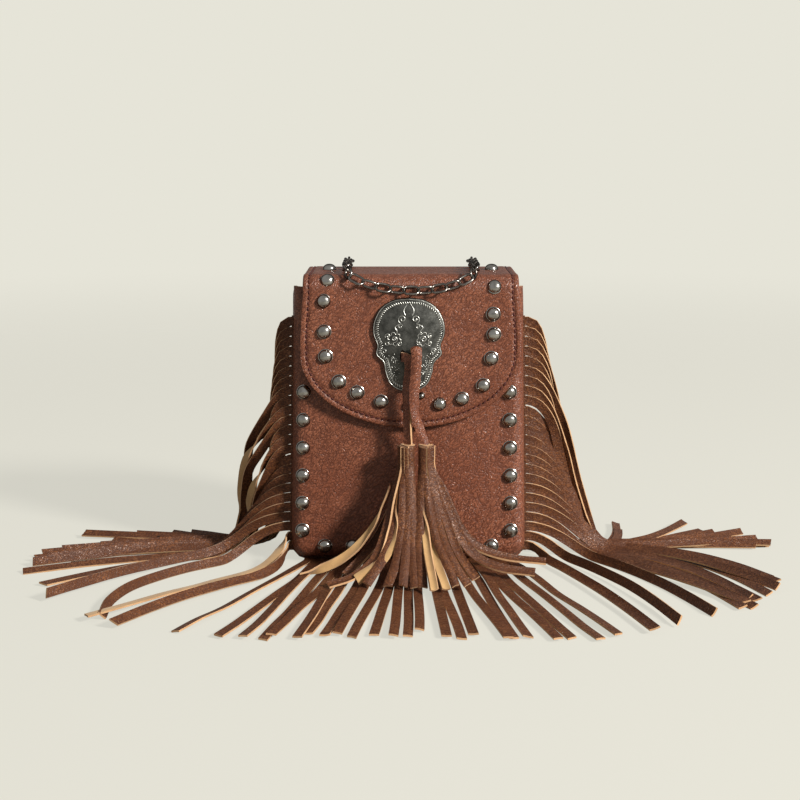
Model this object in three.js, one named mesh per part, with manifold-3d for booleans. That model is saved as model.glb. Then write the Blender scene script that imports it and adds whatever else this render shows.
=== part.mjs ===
// Boxy leather shoulder bag with a flap, fringed seams, dome studs, a concho with a lace and tassels,
// and a chain.
// Millimetres, +Z up. The origin is the middle of the flat underside of the gusset; the front looks along -Y.
import * as THREE from 'three';
import { mergeVertices } from 'three/addons/utils/BufferGeometryUtils.js';
import Module from 'manifold-3d';

const wasm = await Module();
wasm.setup();

// Shared clearances
const seat = 0.3;
const inset = 0.35;

// Bag body
const topWidth = 137;
const bottomWidth = 143;
const seamDepth = 44;
const frontRoll = 8;
const backRoll = 8;
const frontBulge = 2.4;
const backBulge = 0.6;
const cornerRadius = 10;
const panelWall = 2;
const gussetWall = 2;
const panelLift = 2.6;

// Lining and bottom board
const liningWall = 0.8;
const liningInset = 6.6;
const liningDrop = 1;
const liningCorner = 7;
const liningSlack = 1;
const liningFlare = { rise: 8, narrow: 4.5 };
const boardThickness = 1.5;
const boardInset = { x: 10.5, y: 2.2 };
const boardCorner = 6;

// Flap
const flapTop = 176.2;
const flapThickness = 2.2;
const flapFace = 38;
const shoulderDrop = 47.2;
const hemDrop = 91.2;
const flapHalfTop = 61;
const flapHalfFront = 65.5;
const flapShift = 1.4;
const frontBend = 9.5;
const rearBend = 5;
const backGap = 0.6;
const frontGap = 9.2;
const gussetGap = 10.2;

// Studs
const studRadius = 4;
const studHeight = 3.4;
const columnStuds = 6;
const columnDrop = 23.5;
const columnBottom = 20.5;
const columnInset = { left: 7, right: 9 };
const rowStuds = 7;
const rowHalf = 50.5;
const rowHeight = 11;
const flapColumnStuds = 4;
const flapColumnDrop = 5.2;
const flapColumnPitch = 14.5;
const flapStudInset = 16;
const hemStuds = 7;
const hemStudInset = 14.5;
const topStudY = -18;
const bead = { x: 7.8, drop: 71.6, radius: 1.9, height: 3 };

// Fringe
const stripThickness = 1.1;
const stripWidth = 4.1;
const bandThickness = 1.4;
const bandDepth = 3.4;
const sideStrips = 24;
const sideDrop = 19;
const sideBottom = 18;
const sideReach = 162;
const highReach = 92;
const azimuthFront = 57;
const azimuthBack = -58;
const bottomStrips = 24;
const bottomSpan = 122;
const bottomSpread = 1.95;
const bottomReach = 168;

// Concho and lace
const conchoShift = 0.2;
const conchoDrop = 39.2;
const conchoThickness = 2.9;
const conchoPocket = 1.9;
const conchoBorder = 2.6;
const borderHeight = 0.7;
const borderLap = 0.4;
const conchoReach = { x: 21.4, z: 29 };
const slotWidth = 2.6;
const slotHeight = 7.4;
const slotSpacing = 6.8;
const slotRise = -2.5;
const laceWidth = 5.2;
const laceThickness = 1.2;

// Tassels
const headRadius = 4.3;
const headHeight = 15;
const headDrop = 99.2;
const tasselY = -48.6;
const tasselX = { left: -1.2, right: 12.6 };
const tasselStrands = 7;
const strandWidth = 3.8;
const strandThickness = 1.1;
const headBore = 4;
const strandStart = 2.5;
const strandFloor = 4.5;
const strandStep = 2.2;
const strandForward = { near: 36, far: 54 };

// Snap
const snapDrop = 75.2;
const snapRadius = 8;
const snapPost = 2.4;
const snapPlay = 1.7;
const snapPlate = 0.9;

// Chain
const wire = 1.5;
const linkLength = 10.7;
const linkWidth = 7.2;
const pitch = 8.45;
const chainLeft = -37;
const chainRight = 40;
const tabX = 59;
const tabWidth = 8;
const tabDrop = 8.2;
const holeDrop = 27.2;
const tabWall = 1.5;
const tabHoleRadius = 1.7;
const dipDrop = 79.2;
const chainDrops = { turn: 4.2, left: 7.2, middle: 8.7, right: 7.6 };
const chainLean = 1.67;

// Places that follow from the sizes
const backHeight = flapTop - rearBend - backGap;
const frontHeight = flapTop - frontGap;
const gussetHeight = flapTop - gussetGap;
const liningTop = gussetHeight - liningDrop;
const sideTop = gussetHeight - sideDrop;
const flapShoulder = flapTop - shoulderDrop;
const flapHem = flapTop - hemDrop;
const columnTop = flapShoulder - columnDrop;
const columnPitch = (columnTop - columnBottom) / (columnStuds - 1);
const conchoCentre = { x: conchoShift, z: flapTop - conchoDrop };
const headTop = flapTop - headDrop;
const snapHeight = flapTop - snapDrop;
const tabTop = flapTop - tabDrop;
const tabHole = flapTop - holeDrop;
const chainDip = flapTop - dipDrop;
const frontSeam = -seamDepth / 2;
const backSeam = seamDepth / 2;
const panelFace = frontSeam - frontRoll - frontBulge;
const backFace = backSeam + backRoll + backBulge;
const bandFront = frontSeam + seat;
const bandBack = bandFront + bandThickness;
const linkHalf = (linkLength - wire) / 2;
const linkHalfWidth = (linkWidth - wire) / 2;
const linkStand = linkHalfWidth * Math.SQRT1_2 + wire / 2;
const chainBack = backFace + seat + linkHalfWidth + wire / 2;
const chainTop = flapTop + seat + linkStand;

const leather = { color: 0x78412f, roughness: 0.45, metalness: 0 };
const fringeLeather = { color: 0x6e3c28, roughness: 0.55, metalness: 0 };
const metal = { color: 0x6b6864, roughness: 0.25, metalness: 1 };
const cloth = { color: 0x2e2622, roughness: 0.9, metalness: 0 };

const bag = new THREE.Group();

function place(name, geometry, look) {
  const faceted = geometry.toNonIndexed();
  faceted.computeVertexNormals();
  const mesh = new THREE.Mesh(faceted, new THREE.MeshStandardMaterial(look));
  mesh.name = name;
  bag.add(mesh);
  return mesh;
}

function closedGeometry(points, triangles) {
  const geometry = new THREE.BufferGeometry();
  const places = points.flatMap((p) => [p.x, p.y, p.z]);
  geometry.setAttribute('position', new THREE.Float32BufferAttribute(places, 3));
  let volume = 0;
  for (const [a, b, c] of triangles) {
    volume += points[a].dot(new THREE.Vector3().crossVectors(points[b], points[c]));
  }
  const turned = volume > 0 ? triangles : triangles.map(([a, b, c]) => [a, c, b]);
  geometry.setIndex(turned.flat());
  return geometry;
}

function toSolid(geometry) {
  const bare = geometry.clone();
  bare.deleteAttribute('normal');
  bare.deleteAttribute('uv');
  const merged = mergeVertices(bare, 1e-4);
  const vertProperties = new Float32Array(merged.attributes.position.array);
  const triVerts = new Uint32Array(merged.index.array);
  return new wasm.Manifold(new wasm.Mesh({ numProp: 3, vertProperties, triVerts }));
}

function fromSolid(solid) {
  const mesh = solid.getMesh();
  const geometry = new THREE.BufferGeometry();
  geometry.setAttribute('position', new THREE.Float32BufferAttribute(Array.from(mesh.vertProperties), 3));
  geometry.setIndex(Array.from(mesh.triVerts));
  return geometry;
}

function joined(geometries) {
  return fromSolid(geometries.map(toSolid).reduce((all, next) => all.add(next)));
}

function without(geometry, ...cutters) {
  return fromSolid(cutters.map(toSolid).reduce((all, next) => all.subtract(next), toSolid(geometry)));
}

// Closed loft through rings with the same number of points, with a flat fan on the first and the last ring.
function loft(rings) {
  const sides = rings[0].length;
  const triangles = [];
  for (let k = 0; k < rings.length - 1; k += 1) {
    for (let j = 0; j < sides; j += 1) {
      const a = k * sides + j;
      const b = k * sides + ((j + 1) % sides);
      triangles.push([a, b, b + sides], [a, b + sides, a + sides]);
    }
  }
  const last = (rings.length - 1) * sides;
  for (let j = 1; j < sides - 1; j += 1) {
    triangles.push([0, j + 1, j], [last, last + j, last + j + 1]);
  }
  return closedGeometry(rings.flat(), triangles);
}

// Closed sheet between two grids of points, each given as a function of column and row.
function sheet(columns, rows, outer, inner) {
  const points = [];
  for (const side of [outer, inner]) {
    for (let j = 0; j <= rows; j += 1) {
      for (let i = 0; i <= columns; i += 1) {
        points.push(side(i / columns, j / rows));
      }
    }
  }
  const layer = (columns + 1) * (rows + 1);
  const at = (i, j) => j * (columns + 1) + i;
  const triangles = [];
  for (let j = 0; j < rows; j += 1) {
    for (let i = 0; i < columns; i += 1) {
      const [a, b, c, d] = [at(i, j), at(i + 1, j), at(i + 1, j + 1), at(i, j + 1)];
      triangles.push([a, b, c], [a, c, d]);
      triangles.push([a + layer, c + layer, b + layer], [a + layer, d + layer, c + layer]);
    }
  }
  const rim = [];
  for (let i = 0; i < columns; i += 1) rim.push(at(i, 0));
  for (let j = 0; j < rows; j += 1) rim.push(at(columns, j));
  for (let i = columns; i > 0; i -= 1) rim.push(at(i, rows));
  for (let j = rows; j > 0; j -= 1) rim.push(at(0, j));
  rim.forEach((a, k) => {
    const b = rim[(k + 1) % rim.length];
    triangles.push([b, a, a + layer], [b, a + layer, b + layer]);
  });
  return closedGeometry(points, triangles);
}

// Flat strip along a row of points; across gives the direction of its width at each point.
function ribbon(points, across, width, thickness) {
  const rings = points.map((point, k) => {
    const before = points[Math.max(k - 1, 0)];
    const after = points[Math.min(k + 1, points.length - 1)];
    const along = new THREE.Vector3().subVectors(after, before).normalize();
    const wide = across[k].clone().addScaledVector(along, -across[k].dot(along)).normalize();
    const thin = new THREE.Vector3().crossVectors(along, wide);
    return [[1, 1], [-1, 1], [-1, -1], [1, -1]].map(([u, v]) => point.clone()
      .addScaledVector(wide, (u * width) / 2)
      .addScaledVector(thin, (v * thickness) / 2));
  });
  return loft(rings);
}

function mirrored(geometry) {
  const copy = geometry.clone().scale(-1, 1, 1);
  const index = copy.index.array;
  for (let k = 0; k < index.length; k += 3) {
    [index[k + 1], index[k + 2]] = [index[k + 2], index[k + 1]];
  }
  return copy;
}

function smooth(t) {
  const held = Math.min(Math.max(t, 0), 1);
  return held * held * (3 - 2 * held);
}

function halfWidth(z) {
  return (bottomWidth + (topWidth - bottomWidth) * (z / gussetHeight)) / 2;
}

// Outline of the bag at a height, with its round lower corners, moved inwards by an offset.
function outlineHalf(z, offset, lift) {
  const radius = cornerRadius - offset;
  const drop = z - lift - offset;
  const straight = halfWidth(z) - offset;
  if (drop >= radius) return straight;
  return straight - radius + Math.sqrt(Math.max(radius * radius - (radius - drop) ** 2, 0));
}

function edgeDistance(x, z, offset, lift) {
  const radius = cornerRadius - offset;
  const fromSide = halfWidth(z) - offset - Math.abs(x);
  const fromFloor = z - lift - offset;
  if (fromSide < radius && fromFloor < radius) {
    return radius - Math.hypot(radius - fromSide, radius - fromFloor);
  }
  return Math.min(fromSide, fromFloor);
}

// Panel with rolled side and bottom edges, flat along the top. Facing is -1 at the front and 1 at the back.
function dishedPanel(facing, seamY, roll, bulge, height) {
  const surface = (offset) => (u, v) => {
    const z = panelLift + offset + (height - panelLift - offset) * v ** 1.5;
    const spread = Math.sin((u - 0.5) * Math.PI * 0.94) / Math.sin(0.5 * Math.PI * 0.94);
    const x = outlineHalf(z, offset, panelLift) * spread;
    const distance = Math.max(edgeDistance(x, z, offset, panelLift), 0);
    const radius = roll - offset;
    const rounded = distance >= radius ? radius : Math.sqrt(radius ** 2 - (radius - distance) ** 2);
    const swell = bulge * Math.cos((x / halfWidth(z)) * Math.PI / 2) * smooth(distance / 30);
    return new THREE.Vector3(x, seamY + facing * (rounded + swell), z);
  };
  return sheet(12, 9, surface(0), surface(panelWall));
}

function gusset() {
  const outline = (offset, reversed) => {
    const points = [];
    const steps = 5;
    const wall = halfWidth(cornerRadius) - offset;
    points.push(new THREE.Vector2(halfWidth(gussetHeight) - offset, gussetHeight));
    for (let k = 0; k <= steps; k += 1) {
      const turn = (k / steps) * Math.PI / 2;
      const radius = cornerRadius - offset;
      points.push(new THREE.Vector2(
        wall - radius + radius * Math.cos(turn),
        cornerRadius - radius * Math.sin(turn),
      ));
    }
    const left = points.map((p) => new THREE.Vector2(-p.x, p.y)).reverse();
    const all = [...points, ...left];
    return reversed ? all.reverse() : all;
  };
  const band = new THREE.Shape([...outline(0, false), ...outline(gussetWall, true)]);
  const front = bandBack + seat;
  const back = backSeam - seat;
  const geometry = new THREE.ExtrudeGeometry(band, { depth: back - front, bevelEnabled: false });
  geometry.rotateX(Math.PI / 2).translate(0, back, 0);
  return mergeVertices(geometry);
}

// Rounded rectangle seen from above.
function roundedRing(halfX, halfY, radius, z) {
  const ring = [];
  for (const [sx, sy, start] of [[1, 1, 0], [-1, 1, 1], [-1, -1, 2], [1, -1, 3]]) {
    for (let k = 0; k <= 2; k += 1) {
      const turn = (start + k / 2) * Math.PI / 2;
      ring.push(new THREE.Vector3(
        sx * (halfX - radius) + radius * Math.cos(turn),
        sy * (halfY - radius) + radius * Math.sin(turn),
        z,
      ));
    }
  }
  return ring;
}

function lining() {
  const floor = gussetWall + boardThickness + 2 * seat;
  const fullY = backSeam + backRoll - panelWall - inset - liningSlack;
  const { rise, narrow: low } = liningFlare;
  const levels = [[floor, backSeam - low, low], [floor + rise, fullY, 0], [liningTop, fullY, 0]];
  const ringAt = ([z, halfY, narrow], wall, lift) => roundedRing(
    halfWidth(z) - liningInset - narrow - wall,
    halfY - wall,
    liningCorner - wall,
    z + lift,
  );
  const outer = levels.map((level) => ringAt(level, 0, 0));
  const inner = levels.map((level, k) => ringAt(level, liningWall, k === 0 ? liningWall : 0)).reverse();
  return loft([...outer, ...inner]);
}

function bottomBoard() {
  const low = gussetWall + seat;
  const halfY = backSeam - boardInset.y;
  const halfX = halfWidth(0) - boardInset.x;
  return loft([low, low + boardThickness].map((z) => roundedRing(halfX, halfY, boardCorner, z)));
}

// Side view of the flap: up the rear fold, over the top, round the front fold and down to the hem.
function flapPath(x, offset) {
  const path = [];
  const top = flapTop - offset;
  const rear = backSeam + backRoll - offset;
  const rearRadius = rearBend - offset;
  const frontRadius = frontBend - offset;
  for (let k = 0; k <= 3; k += 1) {
    const turn = (k / 3) * Math.PI / 2;
    const [y, z] = [rear - rearRadius, top - rearRadius];
    path.push([y + rearRadius * Math.cos(turn), z + rearRadius * Math.sin(turn)]);
  }
  const face = -flapFace + offset;
  path.push([0, top]);
  for (let k = 0; k <= 4; k += 1) {
    const turn = (k / 4) * Math.PI / 2;
    const [y, z] = [face + frontRadius, top - frontRadius];
    path.push([y - frontRadius * Math.sin(turn), z + frontRadius * Math.cos(turn)]);
  }
  const share = Math.min(Math.abs(x) / flapHalfFront, 1);
  const hem = flapShoulder - (flapShoulder - flapHem) * Math.sqrt(1 - share * share) + offset * 0.2;
  const start = top - frontRadius;
  for (let k = 1; k <= 4; k += 1) {
    path.push([face, start + (hem - start) * (k / 4)]);
  }
  return path;
}

function flap() {
  const rows = flapPath(0, 0).length - 1;
  const surface = (offset) => (u, v) => {
    const spread = Math.sin((u - 0.5) * Math.PI * 0.98) / Math.sin(0.5 * Math.PI * 0.98);
    const k = Math.round(v * rows);
    const width = flapHalfTop + (flapHalfFront - flapHalfTop) * smooth((k - 3) / 6);
    const [y, z] = flapPath(flapHalfFront * spread, offset)[k];
    return new THREE.Vector3(flapShift + width * spread, y, z);
  };
  return sheet(12, rows, surface(0), surface(flapThickness));
}

function dome(radius, height) {
  const profile = [[0, 0], [radius, 0], [radius * 0.96, height * 0.3], [radius * 0.62, height * 0.8], [0, height]]
    .map(([x, y]) => new THREE.Vector2(x, y));
  return mergeVertices(new THREE.LatheGeometry(profile, 10));
}

// A stud's base stands on the surface, with its axis along the outward direction.
function stud(name, point, outward, radius = studRadius, height = studHeight) {
  const geometry = dome(radius, height);
  const axis = outward.clone().normalize();
  geometry.applyQuaternion(new THREE.Quaternion().setFromUnitVectors(new THREE.Vector3(0, 1, 0), axis));
  const seated = point.clone().addScaledVector(axis, seat);
  geometry.translate(seated.x, seated.y, seated.z);
  place(name, geometry, metal);
}

function panelY(x, z) {
  const distance = edgeDistance(x, z, 0, panelLift);
  const swell = frontBulge * Math.cos((x / halfWidth(z)) * Math.PI / 2) * smooth(distance / 30);
  return frontSeam - frontRoll - swell;
}

// Two columns beside the flap's hem and a row along the bottom edge.
function frontStuds() {
  const outward = new THREE.Vector3(0, -1, 0);
  for (let k = 0; k < columnStuds; k += 1) {
    const z = columnTop - columnPitch * k;
    for (const [side, sign, fromSide] of [['left', -1, columnInset.left], ['right', 1, columnInset.right]]) {
      const x = sign * (halfWidth(z) - fromSide);
      const flatY = Math.min(panelY(x - sign * studRadius, z), panelY(x, z));
      stud(`front_stud_${side}_${k + 1}`, new THREE.Vector3(x, flatY, z), outward);
    }
  }
  for (let k = 0; k < rowStuds; k += 1) {
    const x = rowHalf * ((2 * k) / (rowStuds - 1) - 1);
    const flatY = panelY(x, rowHeight + studRadius);
    stud(`front_stud_bottom_${k + 1}`, new THREE.Vector3(x, flatY, rowHeight), outward);
  }
}

// A place on the front of the flap: on the flat face, or higher up on the round front fold.
function onFlap(x, z) {
  const foldStart = flapTop - frontBend;
  const turn = Math.asin(Math.min(Math.max((z - foldStart) / frontBend, 0), 1));
  const y = -flapFace + frontBend * (1 - Math.cos(turn));
  const outward = new THREE.Vector3(0, -Math.cos(turn), Math.sin(turn));
  return { point: new THREE.Vector3(x + flapShift, y, z), outward };
}

// Studs follow the edge of the flap: down each side, then round the curve of the hem.
function flapStuds() {
  const sideX = flapHalfFront - flapStudInset;
  const drop = flapShoulder - flapHem - hemStudInset;
  const column = [];
  for (let k = 0; k < flapColumnStuds; k += 1) {
    column.push([sideX, flapTop - flapColumnDrop - flapColumnPitch * k]);
  }
  const curve = [];
  for (let k = 0; k < hemStuds; k += 1) {
    const turn = THREE.MathUtils.degToRad(150 - (120 * k) / (hemStuds - 1));
    curve.push([sideX * Math.cos(turn), flapShoulder - drop * Math.sin(turn)]);
  }
  const left = column.map(([x, z]) => [-x, z]);
  [...left, ...curve, ...column.reverse()].forEach(([x, z], k) => {
    const { point, outward } = onFlap(x, z);
    stud(`flap_stud_${k + 1}`, point, outward);
  });
  for (const [side, sign] of [['left', -1], ['right', 1]]) {
    const point = new THREE.Vector3(flapShift + sign * sideX, topStudY, flapTop);
    stud(`top_stud_${side}`, point, new THREE.Vector3(0, 0, 1));
  }
  const spot = new THREE.Vector3(bead.x, -flapFace, flapTop - bead.drop);
  stud('bead_rivet', spot, new THREE.Vector3(0, -1, 0), bead.radius, bead.height);
}

// Side fringe. Each strip leaves the seam edge-on, turns down and fans out over the floor.
// A strip from a higher root falls outside the ones below it and lies further back.
function sideStrip(index) {
  const share = index / (sideStrips - 1);
  const rootZ = sideTop + (sideBottom - sideTop) * share;
  const azimuth = THREE.MathUtils.degToRad(azimuthBack + (azimuthFront - azimuthBack) * share);
  const step = THREE.MathUtils.degToRad((azimuthFront - azimuthBack) / (sideStrips - 1));
  const reach = highReach + (sideReach - highReach) * smooth(share * 1.5);
  const outAt = (drop) => 11 * (1 - Math.exp(-drop / 8)) + 0.17 * drop + 0.0007 * drop * drop;
  const lie = stripThickness / 2 + 0.4;
  const fall = rootZ - lie;
  const landing = outAt(fall);
  const tiltAt = (out) => Math.asin(Math.min(0.9, (stripThickness + 0.35) / (out * step)));
  const hang = THREE.MathUtils.degToRad(20);
  const profile = [[-0.6, rootZ, Math.PI / 2], [2, rootZ, Math.PI / 2]];
  for (const part of [0.1, 0.36, 0.7]) {
    profile.push([2 + outAt(fall * part), rootZ - fall * part, hang]);
  }
  for (const [out, rise] of [[landing + 10, 2.4], [landing + 24, 0], [reach, 0]]) {
    const tilt = tiltAt(out);
    profile.push([out, lie + rise + (stripWidth / 2) * Math.sin(tilt), tilt]);
  }
  const points = [];
  const across = [];
  profile.forEach(([out, z, tilt], k) => {
    const bearing = azimuth * smooth((out - 2) / 22);
    const outward = new THREE.Vector3(Math.cos(bearing), -Math.sin(bearing), 0);
    const sideways = new THREE.Vector3(-Math.sin(bearing), -Math.cos(bearing), 0);
    const above = new THREE.Vector3(halfWidth(rootZ), (bandFront + bandBack) / 2, z);
    points.push(above.addScaledVector(outward, out));
    const next = profile[Math.min(k + 1, profile.length - 1)];
    const last = profile[Math.max(k - 1, 0)];
    const along = outward.clone().multiplyScalar(next[0] - last[0]);
    along.z = next[1] - last[1];
    const upward = new THREE.Vector3().crossVectors(sideways, along.normalize());
    across.push(sideways.multiplyScalar(Math.cos(tilt)).addScaledVector(upward, Math.sin(tilt)));
  });
  return ribbon(points, across, stripWidth, stripThickness);
}

function sideBand() {
  const low = sideBottom - stripWidth;
  const high = sideTop + stripWidth;
  const rings = [low, (low + high) / 2, high].map((z) => {
    const edge = halfWidth(z) + 0.8;
    return [[edge, bandFront], [edge, bandBack], [edge - bandDepth, bandBack], [edge - bandDepth, bandFront]]
      .map(([x, y]) => new THREE.Vector3(x, y, z));
  });
  return loft(rings);
}

function sideFringe() {
  const strips = [];
  for (let k = 0; k < sideStrips; k += 1) {
    strips.push(sideStrip(k));
  }
  return joined([sideBand(), ...strips]);
}

// Bottom fringe. The strips leave the seam downwards, turn under the rolled edge and fan out forwards.
function bottomStrip(index) {
  const share = index / (bottomStrips - 1) - 0.5;
  const rootX = share * bottomSpan;
  const tipX = rootX * bottomSpread;
  const middle = (bandFront + bandBack) / 2;
  const lie = stripThickness / 2 + 0.05;
  const lean = Math.atan2(tipX - rootX, bottomReach);
  const reach = bottomReach * Math.cos(lean * 0.6);
  const profile = [[0, panelLift + 1], [0, panelLift + 0.3], [-0.7, lie + 0.6], [-2.4, lie]];
  const points = profile.map(([y, z]) => new THREE.Vector3(rootX, middle + y, z));
  for (const part of [0.5, 1]) {
    const bend = part * part * 0.35 + part * 0.65;
    points.push(new THREE.Vector3(rootX + (tipX - rootX) * bend, middle - 2.4 - (reach - 2.4) * part, lie));
  }
  const across = points.map(() => new THREE.Vector3(1, 0, 0));
  return ribbon(points, across, stripWidth, stripThickness);
}

function bottomFringe() {
  const halfX = bottomSpan / 2 + stripWidth / 2 + 0.4;
  const low = panelLift + 0.4;
  const rings = [low, low + bandDepth].map((z) => [[halfX, bandFront], [halfX, bandBack], [-halfX, bandBack],
    [-halfX, bandFront]].map(([x, y]) => new THREE.Vector3(x, y, z)));
  const strips = [];
  for (let k = 0; k < bottomStrips; k += 1) {
    strips.push(bottomStrip(k));
  }
  return joined([loft(rings), ...strips]);
}

// Concho outline: a broad crown, cheeks, a notch below them and a tapering jaw.
function conchoOutline(offset) {
  const right = [[0, 26], [9, 24.8], [16.4, 20.2], [20.8, 12], [21.2, 4.6], [18.9, -2.4], [19.6, -7.6],
    [15.2, -12.6], [13.8, -19], [11, -25.4], [5.4, -29.2], [0, -29.6]];
  const half = new THREE.SplineCurve(right.map(([x, z]) => new THREE.Vector2(x, z))).getPoints(20);
  const all = [...half, ...half.slice(1, -1).reverse().map((p) => new THREE.Vector2(-p.x, p.y))];
  return all.map((p) => new THREE.Vector2(
    p.x * (1 - offset / conchoReach.x),
    p.y * (1 - offset / conchoReach.z),
  ));
}

function slotBox(sign, depth) {
  const box = new THREE.BoxGeometry(slotWidth, depth, slotHeight);
  box.translate(conchoCentre.x + (sign * slotSpacing) / 2, 0, conchoCentre.z + slotRise);
  return box;
}

function concho() {
  const back = -flapFace - seat;
  const slab = (outer, depth, from, hole) => {
    const shape = new THREE.Shape(conchoOutline(outer));
    if (hole) shape.holes.push(new THREE.Path(conchoOutline(hole).reverse()));
    const geometry = new THREE.ExtrudeGeometry(shape, { depth, bevelEnabled: false });
    geometry.rotateX(Math.PI / 2).translate(conchoCentre.x, from, conchoCentre.z);
    return mergeVertices(geometry);
  };
  const plate = slab(0, conchoThickness, back, 0);
  const border = slab(0.5, borderHeight + borderLap, back - conchoThickness + borderLap, conchoBorder);
  const pocket = slab(2.4, conchoPocket + 1, back + 1, 0);
  const body = joined([plate, border]);
  const depth = 2 * (flapFace + 12);
  return without(body, pocket, slotBox(-1, depth), slotBox(1, depth));
}

// The lace runs behind the concho from slot to slot, comes out of both and hangs down with a twist.
function lace() {
  const behind = -flapFace - seat - conchoPocket / 2 - 0.05;
  const slotZ = conchoCentre.z + slotRise;
  const points = [];
  const across = [];
  const add = (x, y, z, wide) => {
    points.push(new THREE.Vector3(x, y, z));
    across.push(new THREE.Vector3(...wide).normalize());
  };
  const leg = (sign, endX, twist) => {
    const slotX = conchoCentre.x + (sign * slotSpacing) / 2;
    const hang = tasselY;
    const path = [
      [slotX - sign * 1.6, behind, slotZ, [0, 0, 1]],
      [slotX - sign * 0.3, behind - 1.0, slotZ, [0, 0, 1]],
      [slotX, behind - 3.2, slotZ, [0, 0, 1]],
      [slotX, hang + 4.2, slotZ - 0.4, [0, 0.15, 1]],
      [slotX, hang + 1.1, slotZ - 2.2, [0, 0.8, 1]],
      [slotX, hang, slotZ - 5.5, [0, 1, 0.2]],
    ];
    const fallTo = headTop - headBore + 1;
    for (let k = 1; k <= 6; k += 1) {
      const part = k / 6;
      const x = slotX + (endX - slotX) * smooth(part);
      const turn = Math.PI / 2 * (1 - smooth(part * 1.6)) + twist * Math.sin(part * Math.PI);
      const z = slotZ - 5.5 + (fallTo - slotZ + 5.5) * part;
      path.push([x, hang, z, [Math.cos(turn), Math.sin(turn), 0]]);
    }
    return path;
  };
  leg(-1, tasselX.left, 0).reverse().forEach(([x, y, z, wide]) => add(x, y, z, wide));
  leg(1, tasselX.right, 0.5).forEach(([x, y, z, wide]) => add(x, y, z, wide));
  for (let k = 1; k < across.length; k += 1) {
    if (across[k].dot(across[k - 1]) < 0) across[k].negate();
  }
  return ribbon(points, across, laceWidth, laceThickness);
}

function tassel(centreX, lean, spread) {
  const head = new THREE.LatheGeometry([
    new THREE.Vector2(0, headTop - headHeight),
    new THREE.Vector2(headRadius, headTop - headHeight),
    new THREE.Vector2(headRadius * 1.04, headTop - headHeight * 0.5),
    new THREE.Vector2(headRadius * 0.94, headTop - 0.6),
    new THREE.Vector2(headRadius * 0.8, headTop),
    new THREE.Vector2(0, headTop),
  ], 12);
  head.rotateX(Math.PI / 2).translate(centreX, tasselY, 0);
  const bore = new THREE.BoxGeometry(laceWidth + 2 * seat, laceThickness + 2 * seat, headBore * 2);
  bore.translate(centreX, tasselY, headTop);
  const strands = [];
  for (let k = 0; k < tasselStrands; k += 1) {
    const turn = (k / tasselStrands) * Math.PI * 2 + 0.3;
    const [dx, dy] = [Math.cos(turn), Math.sin(turn)];
    const start = headTop - headHeight + strandStart;
    const tipZ = strandFloor + strandStep * (k % 3);
    const tipX = lean + spread * dx;
    const tipY = -THREE.MathUtils.lerp(strandForward.near, strandForward.far, (1 - dy) / 2);
    const points = [];
    const across = [];
    for (const part of [0, 0.2, 0.5, 0.8, 1]) {
      const away = part * part;
      const ring = headRadius * 0.62 + 2.2 * smooth(part * 4);
      points.push(new THREE.Vector3(
        centreX + ring * dx + tipX * away,
        tasselY + ring * dy + tipY * away,
        start + (tipZ - start) * (part * 1.35 - 0.35 * part * part),
      ));
      across.push(new THREE.Vector3(-dy, dx, 0));
    }
    strands.push(ribbon(points, across, strandWidth, strandThickness));
  }
  return without(joined([mergeVertices(head), ...strands]), bore);
}

function disc(radius, thickness, frontY, centreZ) {
  const geometry = new THREE.CylinderGeometry(radius, radius, thickness, 14);
  geometry.translate(flapShift, frontY + thickness / 2, centreZ);
  return geometry;
}

function snapPieces() {
  const flapInner = -flapFace + flapThickness;
  const plateFront = flapInner + seat;
  const cap = disc(snapRadius, snapPlate, plateFront, snapHeight);
  const post = disc(snapPost, snapPlate + 0.8, plateFront, snapHeight);
  place('snap_stud', joined([cap, post]), metal);
  const seatY = panelFace - seat;
  const plate = disc(snapRadius, 1.1, seatY - 1.1, snapHeight);
  const hole = disc(snapPost + snapPlay, 1.4, seatY - 1.9, snapHeight);
  place('snap_socket', without(plate, hole), metal);
}

// One chain link: six straight stretches of square wire round a long ring with flat ends.
function link() {
  const flat = linkHalfWidth * 0.52;
  const loop = [[linkHalf, flat], [0, linkHalfWidth], [-linkHalf, flat], [-linkHalf, -flat],
    [0, -linkHalfWidth], [linkHalf, -flat]].map(([x, y]) => new THREE.Vector3(x, y, 0));
  const count = loop.length;
  const points = [];
  const triangles = [];
  loop.forEach((p, k) => {
    const into = new THREE.Vector3().subVectors(p, loop[(k + count - 1) % count]).normalize();
    const from = new THREE.Vector3().subVectors(loop[(k + 1) % count], p).normalize();
    const along = into.add(from).normalize();
    const out = new THREE.Vector3(along.y, -along.x, 0);
    for (const [u, v] of [[1, 0], [0, 1], [-1, 0], [0, -1]]) {
      const side = new THREE.Vector3(0, 0, (v * wire) / 2).addScaledVector(out, (u * wire) / 2);
      points.push(p.clone().add(side));
    }
    const next = ((k + 1) % count) * 4;
    for (let j = 0; j < 4; j += 1) {
      const [a, b] = [k * 4 + j, k * 4 + ((j + 1) % 4)];
      const [c, d] = [next + j, next + ((j + 1) % 4)];
      triangles.push([a, b, d], [a, d, c]);
    }
  });
  return closedGeometry(points, triangles);
}

// A link in its place: along is the run of the chain, facing the direction that its flat side looks at.
function placedLink(centre, along, facing, roll) {
  const x = along.clone().normalize();
  const z = facing.clone().addScaledVector(x, -facing.dot(x)).normalize();
  const y = new THREE.Vector3().crossVectors(z, x);
  const basis = new THREE.Matrix4().makeBasis(x, y, z).setPosition(centre);
  return link().rotateX(roll).applyMatrix4(basis);
}

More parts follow.
